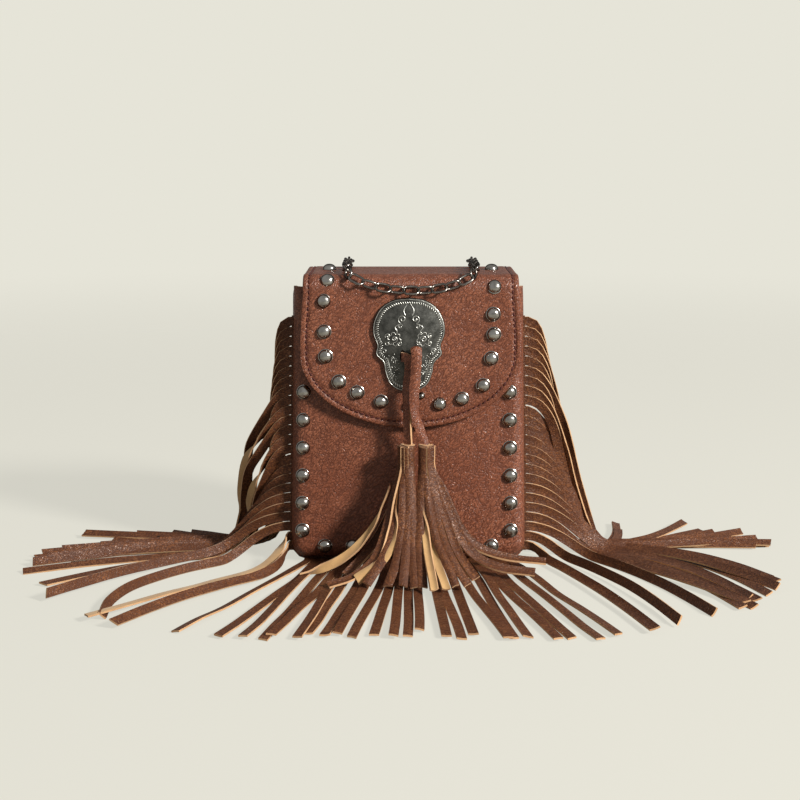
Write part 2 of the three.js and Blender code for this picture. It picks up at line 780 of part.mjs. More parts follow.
// Links at an even pitch along a curve. Rolls of the first and last link can be given.
function chainAlong(curve, facingAt, firstRoll, lastRoll) {
  const length = curve.getLength();
  const count = Math.round((length - 2 * linkHalf) / pitch) + 1;
  const step = (length - 2 * linkHalf) / (count - 1);
  const links = [];
  for (let k = 0; k < count; k += 1) {
    const t = (linkHalf + k * step) / length;
    const ahead = curve.getPointAt(Math.min(t + linkHalf / length, 1));
    const behind = curve.getPointAt(Math.max(t - linkHalf / length, 0));
    const centre = curve.getPointAt(t).lerp(ahead.clone().add(behind).multiplyScalar(0.5), 0.4);
    let roll = (k % 2 ? -1 : 1) * Math.PI / 4;
    if (k === 0) roll = firstRoll;
    if (k === count - 1) roll = lastRoll;
    links.push(placedLink(centre, ahead.clone().sub(behind), facingAt(centre), roll));
  }
  return joined(links);
}

function frontChain() {
  const frontY = -flapFace - seat - linkStand;
  const edgeY = frontY + chainLean;
  const edgeZ = flapTop - frontBend * 0.3 + 2.4;
  const turnZ = flapTop - chainDrops.turn;
  const points = [
    [chainLeft, chainBack, chainTop], [chainLeft, 12, chainTop], [chainLeft, -12, chainTop],
    [chainLeft + 0.5, -29, chainTop + 0.3], [chainLeft + 3, edgeY, edgeZ],
    [chainLeft + 11, frontY - 0.4, turnZ],
    [chainLeft + 22, frontY, flapTop - chainDrops.left], [flapShift, frontY, flapTop - chainDrops.middle],
    [chainRight - 22, frontY, flapTop - chainDrops.right], [chainRight - 10, frontY - 0.4, turnZ],
    [chainRight - 3, edgeY, edgeZ], [chainRight - 0.5, -29, chainTop + 0.3],
    [chainRight, -12, chainTop], [chainRight, 12, chainTop], [chainRight, chainBack, chainTop],
  ].map((p) => new THREE.Vector3(...p));
  const curve = new THREE.CatmullRomCurve3(points, false, 'centripetal');
  const facingAt = (p) => {
    const [forward, up] = [smooth((-20 - p.y) / 18), 1 - smooth((-24 - p.y) / 16)];
    return new THREE.Vector3(0, -forward, up).normalize();
  };
  return chainAlong(curve, facingAt, 0, 0);
}

// Rear stretch: hangs from the last link at the fold, turns up again and ends in the hole of its tab.
function rearChain(foldX, endX) {
  const hook = chainTop + wire + seat;
  const middle = (foldX + endX) / 2;
  const points = [
    [foldX, chainBack, hook], [foldX, chainBack, (hook + chainDip) / 2 + 8],
    [foldX + (middle - foldX) * 0.25, chainBack, chainDip + 14], [middle, chainBack, chainDip],
    [endX - (endX - middle) * 0.25, chainBack, chainDip + 14],
    [endX, chainBack, (tabHole + chainDip) / 2 + 6],
    [endX, chainBack, tabHole],
  ].map((p) => new THREE.Vector3(...p));
  const curve = new THREE.CatmullRomCurve3(points, false, 'centripetal');
  return chainAlong(curve, () => new THREE.Vector3(0, 1, 0), Math.PI / 2, Math.PI / 2);
}

function chainTab(centreX) {
  const plate = backFace + seat;
  const stand = chainBack - tabWall / 2;
  const shape = new THREE.Shape([
    [plate, tabTop], [plate, tabHole + 9], [stand, tabHole + 5], [stand, tabHole - 3.6],
    [stand + tabWall, tabHole - 3.6], [stand + tabWall, tabHole + 5.6], [plate + tabWall, tabHole + 9.8],
    [plate + tabWall, tabTop],
  ].map(([y, z]) => new THREE.Vector2(y, z)));
  const geometry = new THREE.ExtrudeGeometry(shape, { depth: tabWidth, bevelEnabled: false });
  geometry.rotateX(Math.PI / 2).rotateZ(Math.PI / 2).translate(centreX - tabWidth / 2, 0, 0);
  const hole = new THREE.CylinderGeometry(tabHoleRadius, tabHoleRadius, 3 * linkWidth, 12);
  hole.translate(centreX, chainBack, tabHole);
  return without(mergeVertices(geometry), hole);
}

place('front_panel', dishedPanel(-1, frontSeam, frontRoll, frontBulge, frontHeight), leather);
place('back_panel', dishedPanel(1, backSeam, backRoll, backBulge, backHeight), leather);
place('gusset', gusset(), leather);
place('lining', lining(), cloth);
place('bottom_board', bottomBoard(), cloth);
place('flap', flap(), leather);
frontStuds();
flapStuds();
snapPieces();
place('fringe_right', sideFringe(), fringeLeather);
place('fringe_left', mirrored(sideFringe()), fringeLeather);
place('fringe_bottom', bottomFringe(), fringeLeather);
place('concho', concho(), metal);
place('lace', lace(), leather);
place('tassel_left', tassel(tasselX.left, -20, 18), fringeLeather);
place('tassel_right', tassel(tasselX.right, 24, 18), fringeLeather);
place('chain_front', frontChain(), metal);
place('chain_rear_left', rearChain(chainLeft, -tabX), metal);
place('chain_rear_right', rearChain(chainRight, tabX), metal);
place('chain_tab_left', chainTab(-tabX), leather);
place('chain_tab_right', chainTab(tabX), leather);

export default bag;
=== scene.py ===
import math
import random

import bpy
import numpy as np
from mathutils import Matrix, Vector, noise


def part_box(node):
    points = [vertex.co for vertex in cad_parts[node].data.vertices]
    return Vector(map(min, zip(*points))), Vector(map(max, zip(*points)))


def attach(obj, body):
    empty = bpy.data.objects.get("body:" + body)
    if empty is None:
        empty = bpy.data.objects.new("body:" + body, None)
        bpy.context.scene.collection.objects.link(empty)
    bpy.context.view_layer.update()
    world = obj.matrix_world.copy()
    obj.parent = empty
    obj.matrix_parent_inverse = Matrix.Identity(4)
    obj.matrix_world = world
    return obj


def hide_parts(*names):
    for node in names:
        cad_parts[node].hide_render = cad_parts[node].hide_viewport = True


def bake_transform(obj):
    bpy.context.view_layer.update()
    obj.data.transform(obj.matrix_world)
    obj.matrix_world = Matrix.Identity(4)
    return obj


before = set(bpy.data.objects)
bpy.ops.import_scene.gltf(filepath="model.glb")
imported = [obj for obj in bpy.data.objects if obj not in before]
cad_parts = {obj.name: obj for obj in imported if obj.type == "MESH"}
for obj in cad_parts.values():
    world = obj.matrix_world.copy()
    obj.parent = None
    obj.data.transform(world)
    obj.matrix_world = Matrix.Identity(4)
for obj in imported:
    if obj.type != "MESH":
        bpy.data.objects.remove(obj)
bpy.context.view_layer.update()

mm = 0.001  # the dictionaries below are in millimetres


def at(x, y, z):
    return Vector((x, y, z)) * mm


def smooth(t):
    t = min(max(t, 0.0), 1.0)
    return t * t * (3 - 2 * t)


def deselect():
    bpy.ops.object.select_all(action="DESELECT")


def makeActive(piece):
    deselect()
    piece.select_set(True)
    bpy.context.view_layer.objects.active = piece


def applyAll(piece):
    makeActive(piece)
    for modifier in list(piece.modifiers):
        bpy.ops.object.modifier_apply(modifier=modifier.name)


def joinPieces(pieces, name):
    deselect()
    for piece in pieces:
        piece.select_set(True)
    bpy.context.view_layer.objects.active = pieces[0]
    bpy.ops.object.join()
    joined = bpy.context.object
    joined.name = name
    joined.data.name = name
    return joined


def softShade(piece, degrees=40):
    makeActive(piece)
    bpy.ops.object.shade_smooth_by_angle(angle=math.radians(degrees))


def dress(piece, *looks):
    piece.data.materials.clear()
    for look in looks:
        piece.data.materials.append(look)


def copyMesh(source, name, move):
    piece = source.copy()
    piece.data = source.data.copy()
    piece.name = name
    piece.data.name = name
    piece.data.transform(move)
    bpy.context.scene.collection.objects.link(piece)
    return piece


def addSheet(name, columns, rows, shape):
    deselect()
    bpy.ops.mesh.primitive_grid_add(x_subdivisions=columns, y_subdivisions=rows, size=2)
    sheet = bpy.context.object
    sheet.name = name
    sheet.data.name = name
    for vertex in sheet.data.vertices:
        vertex.co = shape((vertex.co.x + 1) / 2, (vertex.co.y + 1) / 2)
    return sheet


def finish(piece, body, slotName, *nodes):
    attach(piece, body)
    if nodes:
        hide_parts(*nodes)


# A sheet gets its wall. The looks are for the outside, the inside and the cut edge.
def thicken(piece, thickness, *looks, shade=45):
    dress(piece, *looks)
    wall = piece.modifiers.new("wall", "SOLIDIFY")
    wall.thickness = thickness * mm
    wall.offset = -1
    wall.material_offset = 1
    wall.material_offset_rim = 2
    applyAll(piece)
    softShade(piece, shade)


def weld(piece, gap):
    makeActive(piece)
    bpy.ops.object.mode_set(mode="EDIT")
    bpy.ops.mesh.select_all(action="SELECT")
    bpy.ops.mesh.remove_doubles(threshold=gap * mm)


# Selects the open edges, and of them only what stands at a wanted place.
def selectOpenEdges(piece, wanted):
    bpy.ops.mesh.select_all(action="DESELECT")
    bpy.ops.mesh.select_non_manifold()
    bpy.ops.object.mode_set(mode="OBJECT")
    for vertex in piece.data.vertices:
        vertex.select = vertex.select and wanted(vertex.co)
    for edge in piece.data.edges:
        edge.select = all(piece.data.vertices[i].select for i in edge.vertices)
    for face in piece.data.polygons:
        face.select = False
    bpy.ops.object.mode_set(mode="EDIT")


def faceOutwards():
    bpy.ops.mesh.select_all(action="SELECT")
    bpy.ops.mesh.normals_make_consistent(inside=False)
    bpy.ops.object.mode_set(mode="OBJECT")


deselect()

# The camera stands low in front and looks slightly down.
camera = {"place": (-5, -1030, 262), "pitchDown": 0.160, "focalPixels": 1690, "framePixels": 800, "sensor": 36}


def setCamera():
    bpy.ops.object.camera_add(location=at(*camera["place"]), rotation=(math.pi / 2 - camera["pitchDown"], 0, 0))
    eye = bpy.context.object
    eye.data.sensor_width = camera["sensor"]
    eye.data.lens = camera["focalPixels"] * camera["sensor"] / camera["framePixels"]
    eye.data.clip_start = 0.05
    eye.data.clip_end = 20
    bpy.context.scene.camera = eye


setCamera()
print("camera set")


# Shader helpers
def startGroup(name, inputs, outputs):
    tree = bpy.data.node_groups.new(name, "ShaderNodeTree")
    for label, kind, value in inputs:
        socket = tree.interface.new_socket(name=label, in_out="INPUT", socket_type=kind)
        if value is not None:
            socket.default_value = value
    for label, kind in outputs:
        tree.interface.new_socket(name=label, in_out="OUTPUT", socket_type=kind)
    return tree, tree.nodes.new("NodeGroupInput"), tree.nodes.new("NodeGroupOutput")


def addNode(tree, kind, links=None, **values):
    node = tree.nodes.new(kind)
    for key, value in values.items():
        setattr(node, key, value)
    for socket, source in (links or {}).items():
        if isinstance(source, bpy.types.NodeSocket):
            tree.links.new(source, node.inputs[socket])
        else:
            node.inputs[socket].default_value = source
    return node


def sums(tree, operation, a, b=0.0, clamp=False):
    node = addNode(tree, "ShaderNodeMath", {0: a, 1: b}, operation=operation, use_clamp=clamp)
    return node.outputs[0]


def span(tree, value, low, high, toLow=0.0, toHigh=1.0):
    node = addNode(tree, "ShaderNodeMapRange", {"Value": value, "From Min": low, "From Max": high,
                   "To Min": toLow, "To Max": toHigh}, interpolation_type="SMOOTHSTEP")
    return node.outputs["Result"]


def blendColour(tree, factor, a, b):
    node = tree.nodes.new("ShaderNodeMix")
    node.data_type = "RGBA"
    for index, source in ((0, factor), (6, a), (7, b)):
        if isinstance(source, bpy.types.NodeSocket):
            tree.links.new(source, node.inputs[index])
        else:
            node.inputs[index].default_value = source
    return node.outputs[2]


# Fine crinkles: pores and short ridges, drawn out along one direction and bent by a slow warp.
def makeCreasedGrain():
    tree, given, out = startGroup(
        "creasedGrain",
        [("Vector", "NodeSocketVector", None), ("Scale", "NodeSocketFloat", 520.0),
         ("Stretch", "NodeSocketFloat", 0.5), ("Turn", "NodeSocketFloat", 0.6)],
        [("Height", "NodeSocketFloat"), ("Tone", "NodeSocketFloat")],
    )
    turned = addNode(tree, "ShaderNodeVectorRotate", {"Vector": given.outputs["Vector"],
                     "Angle": given.outputs["Turn"], "Axis": (0, 1, 0)}, rotation_type="AXIS_ANGLE")
    sized = addNode(tree, "ShaderNodeCombineXYZ", {0: given.outputs["Stretch"], 1: 1.0, 2: 1.0})
    drawn = addNode(tree, "ShaderNodeVectorMath", {0: turned.outputs[0], 1: sized.outputs[0]}, operation="MULTIPLY")
    warp = addNode(tree, "ShaderNodeTexNoise", {"Vector": drawn.outputs[0], "Scale": 190.0, "Detail": 2.0})
    centred = addNode(tree, "ShaderNodeVectorMath", {0: warp.outputs["Color"], 1: (0.5, 0.5, 0.5)},
                      operation="SUBTRACT")
    shift = addNode(tree, "ShaderNodeVectorMath", {0: centred.outputs[0], "Scale": 0.0032}, operation="SCALE")
    bent = addNode(tree, "ShaderNodeVectorMath", {0: drawn.outputs[0], 1: shift.outputs[0]}, operation="ADD")
    crinkles = []
    for factor, detail in ((1.0, 1.0), (0.42, 1.5)):
        ridgeScale = sums(tree, "MULTIPLY", given.outputs["Scale"], factor)
        ridges = addNode(tree, "ShaderNodeTexNoise", {"Vector": bent.outputs[0], "Scale": ridgeScale,
                         "Detail": detail})
        valley = sums(tree, "ABSOLUTE", sums(tree, "SUBTRACT", ridges.outputs["Fac"], 0.5))
        crinkles.append(span(tree, valley, 0.0, 0.1))
    cells = addNode(tree, "ShaderNodeTexVoronoi", {"Vector": bent.outputs[0], "Scale": given.outputs["Scale"]},
                    feature="DISTANCE_TO_EDGE")
    pores = span(tree, cells.outputs["Distance"], 0.0, 0.3)
    fine = sums(tree, "MULTIPLY", crinkles[0], 0.3)
    coarse = sums(tree, "MULTIPLY", crinkles[1], 0.3)
    height = sums(tree, "ADD", sums(tree, "ADD", fine, coarse), sums(tree, "MULTIPLY", pores, 0.4))
    tree.links.new(height, out.inputs["Height"])
    tree.links.new(span(tree, height, 0.35, 0.9), out.inputs["Tone"])
    return tree


# Slow patches of darker and lighter tone.
def makePatches():
    tree, given, out = startGroup(
        "patches",
        [("Vector", "NodeSocketVector", None), ("Scale", "NodeSocketFloat", 30.0)],
        [("Tone", "NodeSocketFloat")],
    )
    wide = addNode(tree, "ShaderNodeTexNoise", {"Vector": given.outputs["Vector"], "Scale": given.outputs["Scale"],
                   "Detail": 4.0, "Roughness": 0.6})
    tree.links.new(span(tree, wide.outputs["Fac"], 0.32, 0.68), out.inputs["Tone"])
    return tree


# Short raised fibres of a cut or napped side.
def makeNap():
    tree, given, out = startGroup(
        "nap",
        [("Vector", "NodeSocketVector", None), ("Scale", "NodeSocketFloat", 1800.0)],
        [("Height", "NodeSocketFloat")],
    )
    fibres = addNode(tree, "ShaderNodeTexNoise", {"Vector": given.outputs["Vector"], "Scale": given.outputs["Scale"],
                     "Detail": 5.0, "Roughness": 0.7})
    tree.links.new(fibres.outputs["Fac"], out.inputs["Height"])
    return tree


creasedGrain = makeCreasedGrain()
patches = makePatches()
nap = makeNap()


def placeGroup(tree, group, vector, **values):
    node = tree.nodes.new("ShaderNodeGroup")
    node.node_tree = group
    tree.links.new(vector, node.inputs["Vector"])
    for key, value in values.items():
        node.inputs[key].default_value = value
    return node


def startMaterial(name):
    look = bpy.data.materials.new(name)
    look.use_nodes = True
    tree = look.node_tree
    shader = tree.nodes["Principled BSDF"]
    coordinates = tree.nodes.new("ShaderNodeTexCoord")
    return look, tree, shader, coordinates.outputs["Object"]


def addBump(tree, shader, height, distance):
    bump = addNode(tree, "ShaderNodeBump", {"Height": height, "Distance": distance, "Strength": 1.0})
    tree.links.new(bump.outputs["Normal"], shader.inputs["Normal"])


def leather(name, look):
    material, tree, shader, place = startMaterial(name)
    grain = placeGroup(tree, creasedGrain, place, Scale=look["grain"], Stretch=look["stretch"], Turn=look["turn"])
    slow = placeGroup(tree, patches, place, Scale=look["patch"])
    base = blendColour(tree, slow.outputs["Tone"], look["dark"], look["light"])
    creased = blendColour(tree, grain.outputs["Tone"], look["crease"], base)
    tree.links.new(creased, shader.inputs["Base Color"])
    rough = span(tree, grain.outputs["Tone"], 0.0, 1.0, look["roughCrease"], look["rough"])
    tree.links.new(rough, shader.inputs["Roughness"])
    shader.inputs["Specular IOR Level"].default_value = look["specular"]
    addBump(tree, shader, grain.outputs["Height"], look["depth"] * mm)
    return material


def nappedSide(name, look):
    material, tree, shader, place = startMaterial(name)
    fibres = placeGroup(tree, nap, place, Scale=look["fibre"])
    slow = placeGroup(tree, patches, place, Scale=look["patch"])
    mixed = sums(tree, "ADD", sums(tree, "MULTIPLY", fibres.outputs["Height"], 0.7),
                 sums(tree, "MULTIPLY", slow.outputs["Tone"], 0.4), clamp=True)
    tree.links.new(blendColour(tree, mixed, look["dark"], look["light"]), shader.inputs["Base Color"])
    shader.inputs["Roughness"].default_value = look["rough"]
    shader.inputs["Specular IOR Level"].default_value = 0.25
    shader.inputs["Sheen Weight"].default_value = look["sheen"]
    addBump(tree, shader, fibres.outputs["Height"], look["depth"] * mm)
    return material


# Painted shade: every metal look turns towards a near-black colour where its surface turns away from the camera,
# standing in for dark surroundings reflected at its edges. The grey specular tint dims the reflections there as well.
paintedEdgeShade = {"colour": (0.03, 0.027, 0.024, 1), "tint": (0.35, 0.34, 0.33, 1), "from": 0.25, "to": 0.75}


def metalLook(name, look):
    material, tree, shader, place = startMaterial(name)
    slow = placeGroup(tree, patches, place, Scale=look["patch"])
    fine = placeGroup(tree, nap, place, Scale=look["fibre"])
    facing = addNode(tree, "ShaderNodeLayerWeight", {"Blend": 0.5})
    # painted shade on the edges turned away from the camera, as strong as the look's share
    turned = span(tree, facing.outputs["Facing"], paintedEdgeShade["from"], paintedEdgeShade["to"], 0.0, look["paintedEdgeShadeStrength"])
    plain = blendColour(tree, slow.outputs["Tone"], look["dark"], look["light"])
    tree.links.new(blendColour(tree, turned, plain, paintedEdgeShade["colour"]), shader.inputs["Base Color"])
    shader.inputs["Specular Tint"].default_value = paintedEdgeShade["tint"]
    shader.inputs["Metallic"].default_value = look["metal"]
    rough = span(tree, fine.outputs["Height"], 0.3, 0.7, look["rough"], look["rough"] + look["roughSpread"])
    tree.links.new(rough, shader.inputs["Roughness"])
    addBump(tree, shader, fine.outputs["Height"], look["depth"] * mm)
    return material


bodyLeather = leather("bodyLeather", {
    "grain": 800.0, "stretch": 0.5, "turn": 0.75, "patch": 26.0, "depth": 0.34,
    "dark": (0.225, 0.072, 0.036, 1), "light": (0.300, 0.108, 0.058, 1), "crease": (0.130, 0.038, 0.018, 1),
    "rough": 0.28, "roughCrease": 0.46, "specular": 0.5,
})
fringeLeather = leather("fringeLeather", {
    "grain": 900.0, "stretch": 0.6, "turn": 0.2, "patch": 60.0, "depth": 0.26,
    "dark": (0.128, 0.044, 0.016, 1), "light": (0.210, 0.080, 0.031, 1), "crease": (0.078, 0.025, 0.010, 1),
    "rough": 0.33, "roughCrease": 0.55, "specular": 0.36,
})
suedeBack = nappedSide("suedeBack", {
    "fibre": 1500.0, "patch": 90.0, "rough": 0.9, "sheen": 0.2, "depth": 0.12,
    "dark": (0.36, 0.20, 0.085, 1), "light": (0.58, 0.37, 0.165, 1),
})
cutEdge = nappedSide("cutEdge", {
    "fibre": 1900.0, "patch": 140.0, "rough": 0.8, "sheen": 0.1, "depth": 0.08,
    "dark": (0.38, 0.20, 0.095, 1), "light": (0.66, 0.41, 0.22, 1),
})
liningCloth = nappedSide("liningCloth", {
    "fibre": 1200.0, "patch": 60.0, "rough": 0.9, "sheen": 0.1, "depth": 0.1,
    "dark": (0.028, 0.020, 0.016, 1), "light": (0.050, 0.036, 0.028, 1),
})
threadLook = nappedSide("thread", {
    "fibre": 3000.0, "patch": 200.0, "rough": 0.6, "sheen": 0.1, "depth": 0.1,
    "dark": (0.040, 0.008, 0.006, 1), "light": (0.105, 0.022, 0.016, 1),
})
studMetal = metalLook("studMetal", {
    "patch": 300.0, "fibre": 900.0, "rough": 0.17, "roughSpread": 0.08, "depth": 0.02, "metal": 1.0,
    "paintedEdgeShadeStrength": 0.95, "dark": (0.40, 0.385, 0.35, 1), "light": (0.62, 0.60, 0.56, 1),
})
chainMetal = metalLook("chainMetal", {
    "patch": 400.0, "fibre": 900.0, "rough": 0.22, "roughSpread": 0.12, "depth": 0.02, "metal": 1.0, "paintedEdgeShadeStrength": 0.9,
    "dark": (0.20, 0.18, 0.16, 1), "light": (0.38, 0.35, 0.32, 1),
})
# Painted shadow: a near-black, dull look for the flange at the foot of each stud, where the stud meets the leather.
paintedContactShade = metalLook("paintedContactShade", {
    "patch": 400.0, "fibre": 900.0, "rough": 0.7, "roughSpread": 0.1, "depth": 0.02, "metal": 0.0, "paintedEdgeShadeStrength": 0.9,
    "dark": (0.022, 0.018, 0.015, 1), "light": (0.045, 0.038, 0.032, 1),
})
pewter = metalLook("pewter", {
    "patch": 220.0, "fibre": 700.0, "rough": 0.36, "roughSpread": 0.16, "depth": 0.09, "metal": 0.92,
    "paintedEdgeShadeStrength": 0.4, "dark": (0.065, 0.066, 0.060, 1), "light": (0.145, 0.146, 0.134, 1),
})
pewterBright = metalLook("pewterBright", {
    "patch": 400.0, "fibre": 900.0, "rough": 0.3, "roughSpread": 0.15, "depth": 0.03, "metal": 0.95,
    "paintedEdgeShadeStrength": 0.5, "dark": (0.40, 0.405, 0.37, 1), "light": (0.72, 0.725, 0.68, 1),
})
print("materials made")

# Outline of the bag
bag = {
    "topWidth": 137, "bottomWidth": 143, "gussetHeight": 166, "corner": 10, "lift": 2.6, "seamDepth": 44,
    "roll": 8, "frontBulge": 2.4, "backBulge": 0.6, "frontHeight": 168.6, "backHeight": 170.4, "wall": 2,
    "crown": 30,
}


def halfWidth(z):
    return (bag["bottomWidth"] + (bag["topWidth"] - bag["bottomWidth"]) * z / bag["gussetHeight"]) / 2


def outlineHalf(z):
    radius = bag["corner"]
    drop = z - bag["lift"]
    straight = halfWidth(z)
    if drop >= radius:
        return straight
    return straight - radius + math.sqrt(max(radius * radius - (radius - drop) ** 2, 0))


def edgeDistance(x, z):
    radius = bag["corner"]
    fromSide = halfWidth(z) - abs(x)
    fromFloor = z - bag["lift"]
    if fromSide < radius and fromFloor < radius:
        return radius - math.hypot(radius - fromSide, radius - fromFloor)
    return min(fromSide, fromFloor)


def panelDepth(x, z, bulge):
    distance = max(edgeDistance(x, z), 0)
    radius = bag["roll"]
    rounded = radius if distance >= radius else math.sqrt(radius ** 2 - (radius - distance) ** 2)
    return rounded + bulge * math.cos(x / halfWidth(z) * math.pi / 2) * smooth(distance / bag["crown"])


panels = {
    "columns": 84, "rows": 72, "rowCrowding": 1.5, "turn": 0.96, "sag": 0.7, "sagSize": 34, "stillEdge": 16,
    "stillTop": 12, "backCorner": 8, "cornerFrom": 0.84, "cornerOver": 0.14,
}


def makePanel(name, facing, bulge, height, node):
    def shape(u, v):
        spread = math.sin((u - 0.5) * math.pi * panels["turn"]) / math.sin(0.5 * math.pi * panels["turn"])
        corner = smooth((abs(spread) - panels["cornerFrom"]) / panels["cornerOver"]) * panels["backCorner"]
        corner *= 1 if facing > 0 else 0  # only the back panel's top corners are rounded off
        z = bag["lift"] + (height - corner - bag["lift"]) * v ** panels["rowCrowding"]
        x = -facing * outlineHalf(z) * spread
        fade = smooth(edgeDistance(x, z) / panels["stillEdge"]) * smooth((height - z) / panels["stillTop"])
        sag = noise.noise(Vector((x, facing * 50, z)) / panels["sagSize"]) * panels["sag"] * fade
        return at(x, facing * (bag["seamDepth"] / 2 + panelDepth(x, z, bulge) + sag), z)

    panel = addSheet(name, panels["columns"], panels["rows"], shape)
    thicken(panel, bag["wall"], bodyLeather, suedeBack, cutEdge, shade=50)
    finish(panel, "bag", "body_leather", node)
    return panel


frontPanel = makePanel("frontPanel", -1, bag["frontBulge"], bag["frontHeight"], "front_panel")
backPanel = makePanel("backPanel", 1, bag["backBulge"], bag["backHeight"], "back_panel")

gusset = {
    "rows": 90, "columns": 12, "front": -20, "back": 21.7, "bulge": 1.6, "ripple": 0.5, "rippleSize": 22, "wall": 1.9,
    "topDip": 4.5, "dipFrom": 120, "dipOver": 46,
}


def makeGusset():
    high = bag["gussetHeight"]
    radius = bag["corner"]
    sideLength = high - radius
    cornerLength = radius * math.pi / 2
    floorLength = 2 * (halfWidth(radius) - radius)
    whole = 2 * sideLength + 2 * cornerLength + floorLength

    def outline(s):
        mirror = 1
        if s > whole / 2:
            s = whole - s
            mirror = -1
        if s < sideLength:
            z = high - s
            return mirror * halfWidth(z), z, mirror, 0
        s -= sideLength
        centre = halfWidth(radius) - radius
        if s < cornerLength:
            turn = s / radius
            return (mirror * (centre + radius * math.cos(turn)), radius - radius * math.sin(turn),
                    mirror * math.cos(turn), -math.sin(turn))
        s -= cornerLength
        return mirror * (centre - s), 0, 0, -1

    def shape(u, v):
        x, z, outX, outZ = outline(whole * v)
        depth = gusset["front"] + (gusset["back"] - gusset["front"]) * u
        swell = gusset["bulge"] * math.sin(math.pi * u) * abs(outX) * smooth((z - 4) / 30)
        wave = gusset["ripple"] * noise.noise(Vector((x, depth * 1.4, z)) / gusset["rippleSize"])
        out = swell + wave * abs(outX) * math.sin(math.pi * u)
        dip = gusset["topDip"] * smooth(u * 2.5) * smooth((z - gusset["dipFrom"]) / gusset["dipOver"])
        return at(x + outX * out, depth, z + outZ * out - dip)

    band = addSheet("gusset", gusset["columns"], gusset["rows"], lambda u, v: shape(1 - u, v))
    thicken(band, gusset["wall"], bodyLeather, suedeBack, bodyLeather, shade=50)
    finish(band, "bag", "body_leather", "gusset")


makeGusset()
print("bag body made")

lining = {
    "floor": 4.4, "top": 160.8, "inset": 7.0, "depth": 26.0, "wall": 0.8, "around": 96, "rows": 40, "squareness": 0.22,
    "flare": 2.6, "flareFrom": 150, "flareOver": 10, "footX": 4.5, "footY": 5, "footHeight": 8, "gather": 0.8,
}


def makeLining():
    def shape(u, v):
        z = lining["floor"] + (lining["top"] - lining["floor"]) * v
        foot = 1 - smooth((z - lining["floor"]) / lining["footHeight"])
        flare = lining["flare"] * smooth((z - lining["flareFrom"]) / lining["flareOver"])
        halfX = halfWidth(z) - lining["inset"] - lining["footX"] * foot + flare
        halfY = lining["depth"] - lining["footY"] * foot
        turn = u * 2 * math.pi
        x = halfX * math.copysign(abs(math.cos(turn)) ** lining["squareness"], math.cos(turn))
        y = halfY * math.copysign(abs(math.sin(turn)) ** lining["squareness"], math.sin(turn))
        gather = lining["gather"] * (noise.noise(Vector((x / 14, y / 14, z / 40))) - 1)
        return at(x + gather * x / halfX, y + gather * y / halfY, z)

    cloth = addSheet("liningCloth", lining["around"], lining["rows"], shape)
    weld(cloth, 0.02)
    selectOpenEdges(cloth, lambda place: place.z <= (lining["floor"] + 2) * mm)
    bpy.ops.mesh.edge_face_add()
    faceOutwards()
    thicken(cloth, lining["wall"], liningCloth, shade=50)
    finish(cloth, "bag", "lining_cloth", "lining")


makeLining()
dress(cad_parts["bottom_board"], liningCloth)
print("lining made")

# Flap, from the rear fold over the top and down to the curved hem
flap = {
    "top": 176.2, "thickness": 2.3, "face": 38, "hem": 85, "shoulder": 129, "halfTop": 63.2, "halfFront": 65.5,
    "shift": 1.4, "frontBend": 9.5, "rearBend": 5, "rear": 30, "rearEnd": 170.75,
    "columns": 96, "edgeRound": 1.5, "stitchInset": 3.6, "grooveDepth": 0.62, "grooveWidth": 0.7, "faceRows": 30,
    "hemGaps": [0, 0.25, 0.6, 1.1, 1.7, 2.4, 3.0, 3.5, 4.0, 4.7, 5.8, 7.4],  # rows near the hem
    "fullEdge": 0.3, "pillow": 0.18, "pillowAt": 7, "pillowWidth": 3.2, "fullest": 1.2,
}


# Side view of the flap for one column: (y, z) from the rear end to the hem
def flapProfile(x, inner):
    top = flap["top"] - inner
    rear = flap["rear"] - inner
    rearRadius = flap["rearBend"] - inner
    frontRadius = flap["frontBend"] - inner
    face = -flap["face"] + inner
    line = [(rear, flap["rearEnd"])]
    for k in range(9):
        turn = k / 8 * math.pi / 2
        line.append((rear - rearRadius + rearRadius * math.cos(turn), top - rearRadius + rearRadius * math.sin(turn)))
    for k in range(1, 12):
        line.append((rear - rearRadius + (face + frontRadius - rear + rearRadius) * k / 12, top))
    for k in range(13):
        turn = k / 12 * math.pi / 2
        line.append((face + frontRadius - frontRadius * math.sin(turn),
                     top - frontRadius + frontRadius * math.cos(turn)))
    share = min(abs(x) / flap["halfFront"], 1)
    hem = flap["shoulder"] - (flap["shoulder"] - flap["hem"]) * math.sqrt(1 - share * share)
    start = top - frontRadius
    gaps = flap["hemGaps"]
    lowest = min(gaps[-1], (start - hem) * 0.3)
    scale = lowest / gaps[-1]
    for k in range(1, flap["faceRows"] + 1):
        line.append((face, start + (hem + lowest - start) * k / flap["faceRows"]))
    for gap in reversed(gaps[:-1]):
        line.append((face, hem + gap * scale))
    return line


# Half the flap's width at a place: it widens from the top to its shoulders
def flapHalf(y, z):
    if z > flap["top"] - flap["frontBend"]:
        drop = smooth((-y - 15) / 24) * 0.25
    else:
        drop = 0.25 + 0.75 * smooth((flap["top"] - flap["frontBend"] - z) / 30)
    return flap["halfTop"] + (flap["halfFront"] - flap["halfTop"]) * drop


